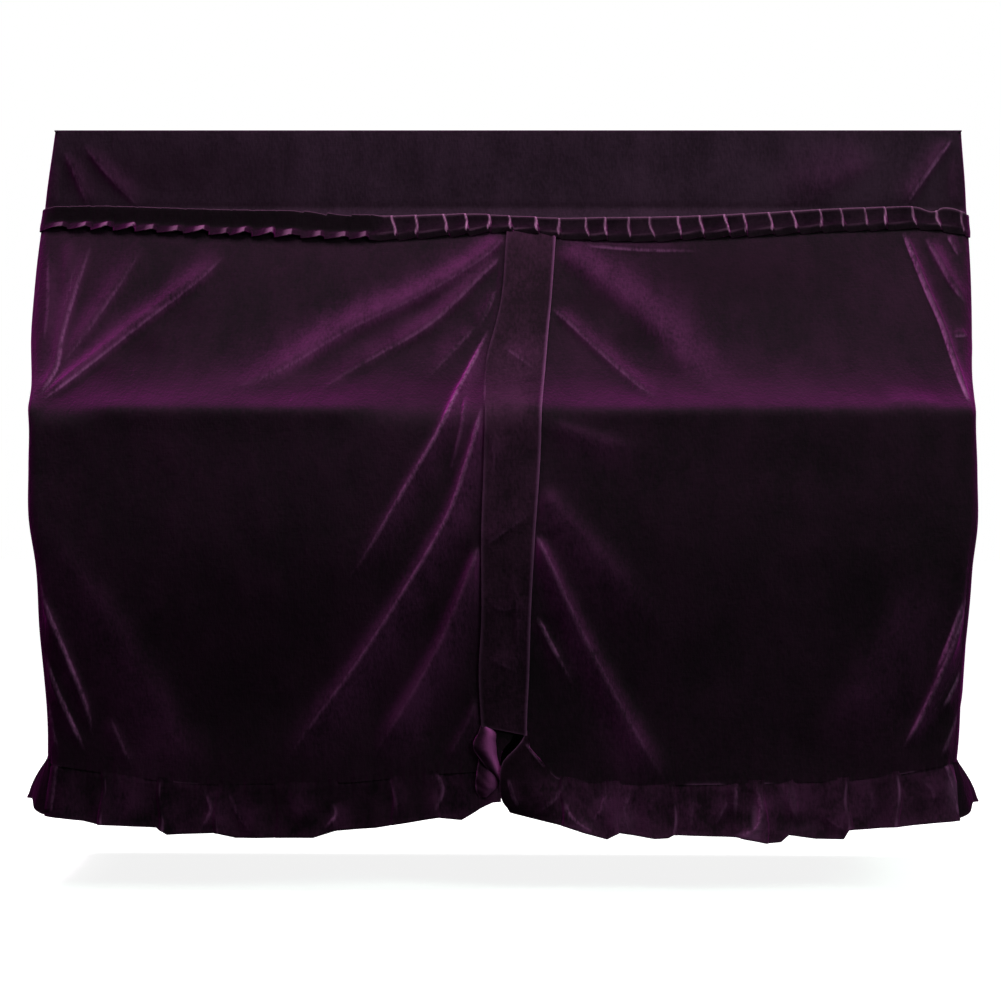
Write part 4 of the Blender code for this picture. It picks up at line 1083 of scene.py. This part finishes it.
def trim_shape(side):
    """The pleated strip over the yoke's seam, standing off the wall, with a rolled upper edge.

    "turned" is 1 where the front's strip is flipped outward, left of TRIM_TURN, and 0 elsewhere.
    Round the corners the strip keeps the height that it has at the front's end.
    """
    unevenness = np.random.default_rng(7).uniform(0.55, 1.25, 64)
    crest_share = np.random.default_rng(3).uniform(0.66, 0.94, 64)

    def pleats(place, v, turned):
        """Which part of a pleat each point is on, where that pleat's crest is, and its size."""
        lean = TRIM_LEAN * (1.0 + 0.8 * np.sin(place * 57.0) * v)
        slant = blend(lean * v, TRIM_LEAN_TURNED * v, turned)
        wander = 0.0034 * np.sin(place * 31.0 + 1.0) + 0.0022 * np.sin(place * 83.0)
        count = (place + wander - slant - TRIM_FIRST) / TRIM_PITCH
        pleat = np.floor(count).astype(int) % len(unevenness)
        return count % 1.0, blend(0.90, crest_share[pleat], turned), unevenness[pleat]

    def section(name, v, turned):
        left = read(TRIM_SECTION, "share", f"{name}_left", v)
        return blend(read(TRIM_SECTION, "share", f"{name}_right", v), left, turned)

    def paleness(place, v, turned, phase, crest, size):
        """Painted highlights along the fold lines, upper edge and stitched lip, and painted shade in the
        hollows between them.
        """
        hooked = 0.90 + 0.03 * np.sin(6.0 * v + 11.0 * place)
        fold_line = hump(phase - hooked, 0.026) * (1.0 - 0.7 * smooth((v - 0.86) / 0.08))
        turned_crest = smooth((phase - crest + 0.36) / 0.34) * (phase < crest + 0.03)
        turned_crest = turned_crest * smooth((v - 0.60) / 0.12)
        stitch_highlight = 0.10 * hump(v - 0.78, 0.05) * (0.6 + 0.4 * np.sin(place * 90.0))
        pale = blend(0.65 * fold_line + stitch_highlight, 0.34 * turned_crest, turned) * size
        # painted shade in the hollows
        hollow = blend(0.45 * smooth((v - 0.80) / 0.08), 0.60 * smooth((0.66 - v) / 0.10), turned)
        lined = np.maximum(hump(v, 0.045), blend(fold_line, turned_crest, turned))
        return pale + 0.34 * hump(v, 0.045) - hollow * (1.0 - np.minimum(lined, 1.0))

    def shape(u, v):
        low, high = seams(side, np.full_like(u, YOKE_Z))
        place = blend(low, high, u)
        x = {"front": place, "left": TRIM_LINES[0].x, "right": TRIM_LINES[-1].x}[side]
        x = np.broadcast_to(x, place.shape)
        turned = smooth((TRIM_TURN - x) / TRIM_TURN_WIDTH + 0.5) if side == "front" else 0.0
        phase, crest, size = pleats(place, v, turned)
        ends = off_corners(place, low, high)
        bead = TRIM_BEAD * hump(v - 0.04, 0.05)
        pleated = section("pleat", v, turned) * size * knife(phase, crest) * ends
        out = blend(TRIM_BASE, section("stand", v, turned), ends) + pleated + bead
        if side != "front":
            out = TRIM_BASE + SIDE_TRIM_DEPTH * (out - TRIM_BASE)
        dip = blend(TRIM_DIP, TRIM_DEEP_DIP, smooth(1.0 - np.abs(x - TRIM_DIP_X) / TRIM_DIP_WIDTH))
        notch = TRIM_NOTCH_TURNED * turned * size * phase ** 2
        notch = notch + TRIM_NOTCH * (1.0 - turned) * size * (phase - 0.6)
        z = blend(trim_top(x) - dip * phase * ends, trim_bottom(x) + notch, v)
        points, normal = hang(side, blend(*seams(side, z), u), z, out)
        return points, normal, paleness(place, v, turned, phase, crest, size)
    return shape


def pleat_steps(pleats, place, v):
    """A row of knife pleats whose edges sway a little on their way down."""
    lift, pale = np.zeros_like(place), np.zeros_like(place)
    for pleat in pleats:
        turn = 40.0 * pleat.x
        sway = PLEAT_SWAY * (np.sin(5.0 * v + turn) - np.sin(turn))
        onto = (place - pleat.x - sway) * pleat.side
        profile = np.where(onto > 0, np.exp(-onto / PLEAT_RUN), smooth(1.0 + onto / PLEAT_DROP))
        lift = lift + pleat.height * profile
        patchy = 0.6 + 0.4 * np.sin(7.0 * v + 2.0 * turn)
        # painted highlight along each pleat's edge
        pale = pale + pleat.pale * patchy * hump(onto - 0.0010, 0.0016)
    return lift * blend(0.45, 1.0, v), pale * smooth(v / 0.10)


def ruffle(place, v):
    """The loose waves of a gathered strip, growing towards its free edge."""
    wave = np.sin(62.0 * place + 1.7 * np.sin(19.0 * place + 0.8)) + 0.5 * np.sin(131.0 * place + 2.0)
    return RUFFLE * wave * v


def flounce_section(seam_z, hem_z, v):
    """A flounce without its pleats: its height, its flare, its hem's roll, and the painted highlight along
    it.
    """
    z = blend(seam_z, hem_z, v) + ROOT * smooth(1.0 - v / 0.10)
    flare = FLARE * v ** FLARE_POWER + TUCK * (1.0 - smooth((v - 0.03) / 0.06))
    return z, flare, HEM_ROLL * hump(v - 0.97, 0.03), HEM_PALE * hump(v - 1.0, 0.03)


def front_flounce_shape(spread, top, hem, pleats, folds, free_end=None):
    """One of the gathered strips below the curtains. The right one has a free end, at its left."""
    def shape(u, v):
        place, _ = spread(u if free_end is None else u ** FREE_END_CROWDING, np.ones_like(u))
        seam_z = straight(top, place)
        z, flare, roll, edge = flounce_section(seam_z, straight(hem, place), v)
        lift, pale = pleat_steps(pleats, place, v)
        strayed = place
        if free_end:
            start = place.min()
            near = smooth(1.0 - (place - start) / FREE_END_WIDTH)
            strayed = place + (read(free_end, "share", "x", v) - start) * near
            straight_end = blend(straight(top, start), straight(hem, start), v)
            z = z + (read(free_end, "share", "z", v) - straight_end) * near
            flare = flare + (read(free_end, "share", "out", v) - flare) * near
            edged = hump(place - start, FREE_END_EDGE)
            # painted highlight along the free end's edge, and painted shade on the cloth beside it
            pale = pale + FREE_END_PALE * edged - FREE_END_DARK * near * (1.0 - edged)
        out = flare + lift + folded(folds, strayed, z) + roll + gathers(place, z - seam_z)
        out = out + ruffle(place, v)
        points, normal = hang("front", strayed, z, out, fold_place=place, fold_z=seam_z)
        return points, normal, pale + painted_light(strayed, z) + edge
    return shape


def flounce_shape(side):
    """The gathered strip below a side or the back, with an even row of pleats."""
    (low_end,), (high_end,) = seams(side, np.array([SIDE_SEAM_Z]))
    count = round((high_end - low_end) / PLEAT_PITCH)
    sizes = np.random.default_rng(11).uniform(0.6, 1.2, count)
    places = np.linspace(low_end, high_end, count + 1)[1:] - 0.030
    jitter = np.random.default_rng(5).uniform(-0.012, 0.012, count)
    pleats = table("x side height pale",
                   *zip(places + jitter, [-1] * count, 0.010 * sizes, 0.3 * sizes))

    def shape(u, v):
        place, seam_z = PANELS[side](u, np.ones_like(u))
        z, flare, roll, edge = flounce_section(seam_z, SIDE_HEM_Z, v)
        low, high = seams(side, seam_z)
        ends = off_corners(place, low, high)
        lift, pale = pleat_steps(pleats, place, v)
        if side != "back":
            corner = smooth((place - low) / CORNER_RISE)
            corner = corner * smooth((CORNER_WIDTH - place + low) / CORNER_FALL)
            flare = flare + CORNER_FLARE * corner * np.sin(np.minimum(v / 0.8, 1.0) * pi / 2)
            z = z + CORNER_LIFT * corner * v
        z = z - PLEAT_SAG * lift * v * ends
        out = flare + (lift + ruffle(place, v)) * ends + roll + gathers(place, z - seam_z)
        points, normal = hang(side, place, z, out, fold_place=place, fold_z=seam_z)
        return points, normal, pale + edge
    return shape


def flap_shape(rows, glow, line):
    """Cloth turned out and back over the front: u runs from its fold to its free edge."""
    def shape(u, v):
        x = blend(read(rows, "share", "fold_x", v), read(rows, "share", "edge_x", v), u)
        z = blend(read(rows, "share", "fold_z", v), read(rows, "share", "edge_z", v), u)
        rise = np.sin(np.minimum(u / FLAP_CREST, 1.0) * pi / 2)
        rise = rise - FLAP_FALL * smooth((u - FLAP_CREST) / (1.0 - FLAP_CREST))
        crumple = FLAP_CRUMPLE * np.sin(19.0 * v + 7.0 * u) * np.sin(pi * v) * u
        points, normal = hang("front", x, z, FLAP_BASE + read(rows, "share", "out", v) * rise + crumple)
        # a band of painted highlight near the fold, and a painted highlight line along the free edge
        pale = glow * hump(u - 0.25, 0.26) * smooth(v / 0.06) + line * hump(u - 1.0, 0.05)
        return points, normal, pale
    return shape


def top_shape(u, v):
    """The flat panel over the lid, out to the outer face of the walls below it."""
    left, right, _ = front_corners(np.zeros_like(u))
    x = blend(-left - CLOTH, right + CLOTH, u)
    y = blend(-BACK_Y - CLOTH, BACK_Y + CLOTH, v)
    inside = smooth(u / 0.02) * smooth((1.0 - u) / 0.02) * smooth(v / 0.08) * smooth((1.0 - v) / 0.08)
    # the top is paler along its four edges
    paler_edges = 0.5 * (hump(u, 0.004) + hump(1.0 - u, 0.004) + hump(v, 0.012) + hump(1.0 - v, 0.012))
    points = np.stack([x, y, 0.3 * swell(x, y) * inside], axis=-1)
    return points, np.broadcast_to((0.0, 0.0, 1.0), points.shape), 0.3 * paler_edges


def add_panels(velvets):
    """The flat and hanging panels: top, yoke, curtains, placket, sides and back."""
    pile = velvets["velvet"]
    top = sheet("velvet_top", "top_panel", top_shape, lines(200), lines(50), velvets["velvet_lid"], skip=2)
    yoke = sheet("velvet_yoke", "yoke", on_wall("front", YOKE), lines(400), lines(40),
                 velvets["velvet_band"], skip=2, folds=YOKE_FOLDS)

    down = lines(290, centre=0.349, width=0.02, extra=2.5)
    left = sheet("velvet_curtain_left", "curtain_left", on_wall("front", LEFT_CURTAIN, curtain_hem),
                 lines(270, centre=0.85, width=0.20, extra=0.8), down, pile, skip=2,
                 folds=LEFT_CURTAIN_FOLDS)
    flap = sheet("velvet_curtain_flap", "curtain_left", flap_shape(CURTAIN_FLAP, 1.00, 0.25),
                 lines(30), lines(40), velvets["velvet_turned"])
    right = sheet("velvet_curtain_right", "curtain_right",
                  on_wall("front", RIGHT_CURTAIN, right_curtain_edge),
                  lines(260, centre=0.95, width=0.12, extra=0.8), down, pile, skip=2,
                  folds=RIGHT_CURTAIN_FOLDS)
    placket = sheet("velvet_placket", "placket", on_wall("front", PLACKET, placket_edges), lines(48),
                    lines(280, centre=0.37, width=0.02, extra=2.5), velvets["velvet_facing"], skip=2,
                    folds=PLACKET_FOLDS)

    for side in ("left", "right"):
        panel = sheet(f"velvet_side_{side}", f"side_{side}", on_wall(side, PANELS[side]), lines(130),
                      lines(170), velvets["velvet_flank"], skip=2, folds=SIDE_FOLDS, axis=1)
    back = sheet("velvet_back", "back_panel", on_wall("back", PANELS["back"]),
                 lines(190), lines(120), pile, skip=2, folds=BACK_FOLDS)


def add_strips(velvets):
    """The pleated trim round three sides, and the gathered flounce along the whole hem."""
    for side, columns, length in (("front", 900, 1.60), ("left", 200, 0.39), ("right", 200, 0.39)):
        trim = sheet(f"velvet_trim_{side}", f"trim_{side}", trim_shape(side), lines(columns), lines(16),
                     velvets["velvet_edging"], thickness=TRIM_CLOTH)

    left_hem = front_flounce_shape(LEFT_CURTAIN, SEAM_LEFT, HEM_LEFT, PLEATS_LEFT, FLOUNCE_LEFT_FOLDS)
    left = sheet("velvet_flounce_front_left", "flounce_front_left", left_hem, lines(520), lines(34),
                 velvets["velvet_frill_left"], folds=FLOUNCE_LEFT_FOLDS)
    flap = sheet("velvet_flounce_flap", "flounce_front_left", flap_shape(FLOUNCE_FLAP, 0.40, 0.25),
                 lines(30), lines(24), velvets["velvet_turned"])
    right_hem = front_flounce_shape(RIGHT_CURTAIN, SEAM_RIGHT, HEM_RIGHT, PLEATS_RIGHT,
                                    FLOUNCE_RIGHT_FOLDS, RIGHT_FREE_END)
    right = sheet("velvet_flounce_front_right", "flounce_front_right", right_hem, lines(520), lines(34),
                  velvets["velvet_frill_right"], folds=FLOUNCE_RIGHT_FOLDS)
    for side, columns, length in (("left", 260, 0.72), ("right", 260, 0.72), ("back", 420, 1.62)):
        finish = velvets["velvet" if side == "back" else "velvet_shade"]
        gathered = sheet(f"velvet_flounce_{side}", f"flounce_{side}", flounce_shape(side),
                         lines(columns), lines(24), finish)


def main():
    add_camera()
    for lamp in LAMPS:
        add_lamp(lamp)
    add_sun()
    add_studio()
    add_floor()
    velvets = {row.name: velvet(*row) for row in VELVETS}
    add_panels(velvets)
    add_strips(velvets)


main()
boxes = [[[float(c) for c in corner] for corner in box] for box in (cad_box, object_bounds())]
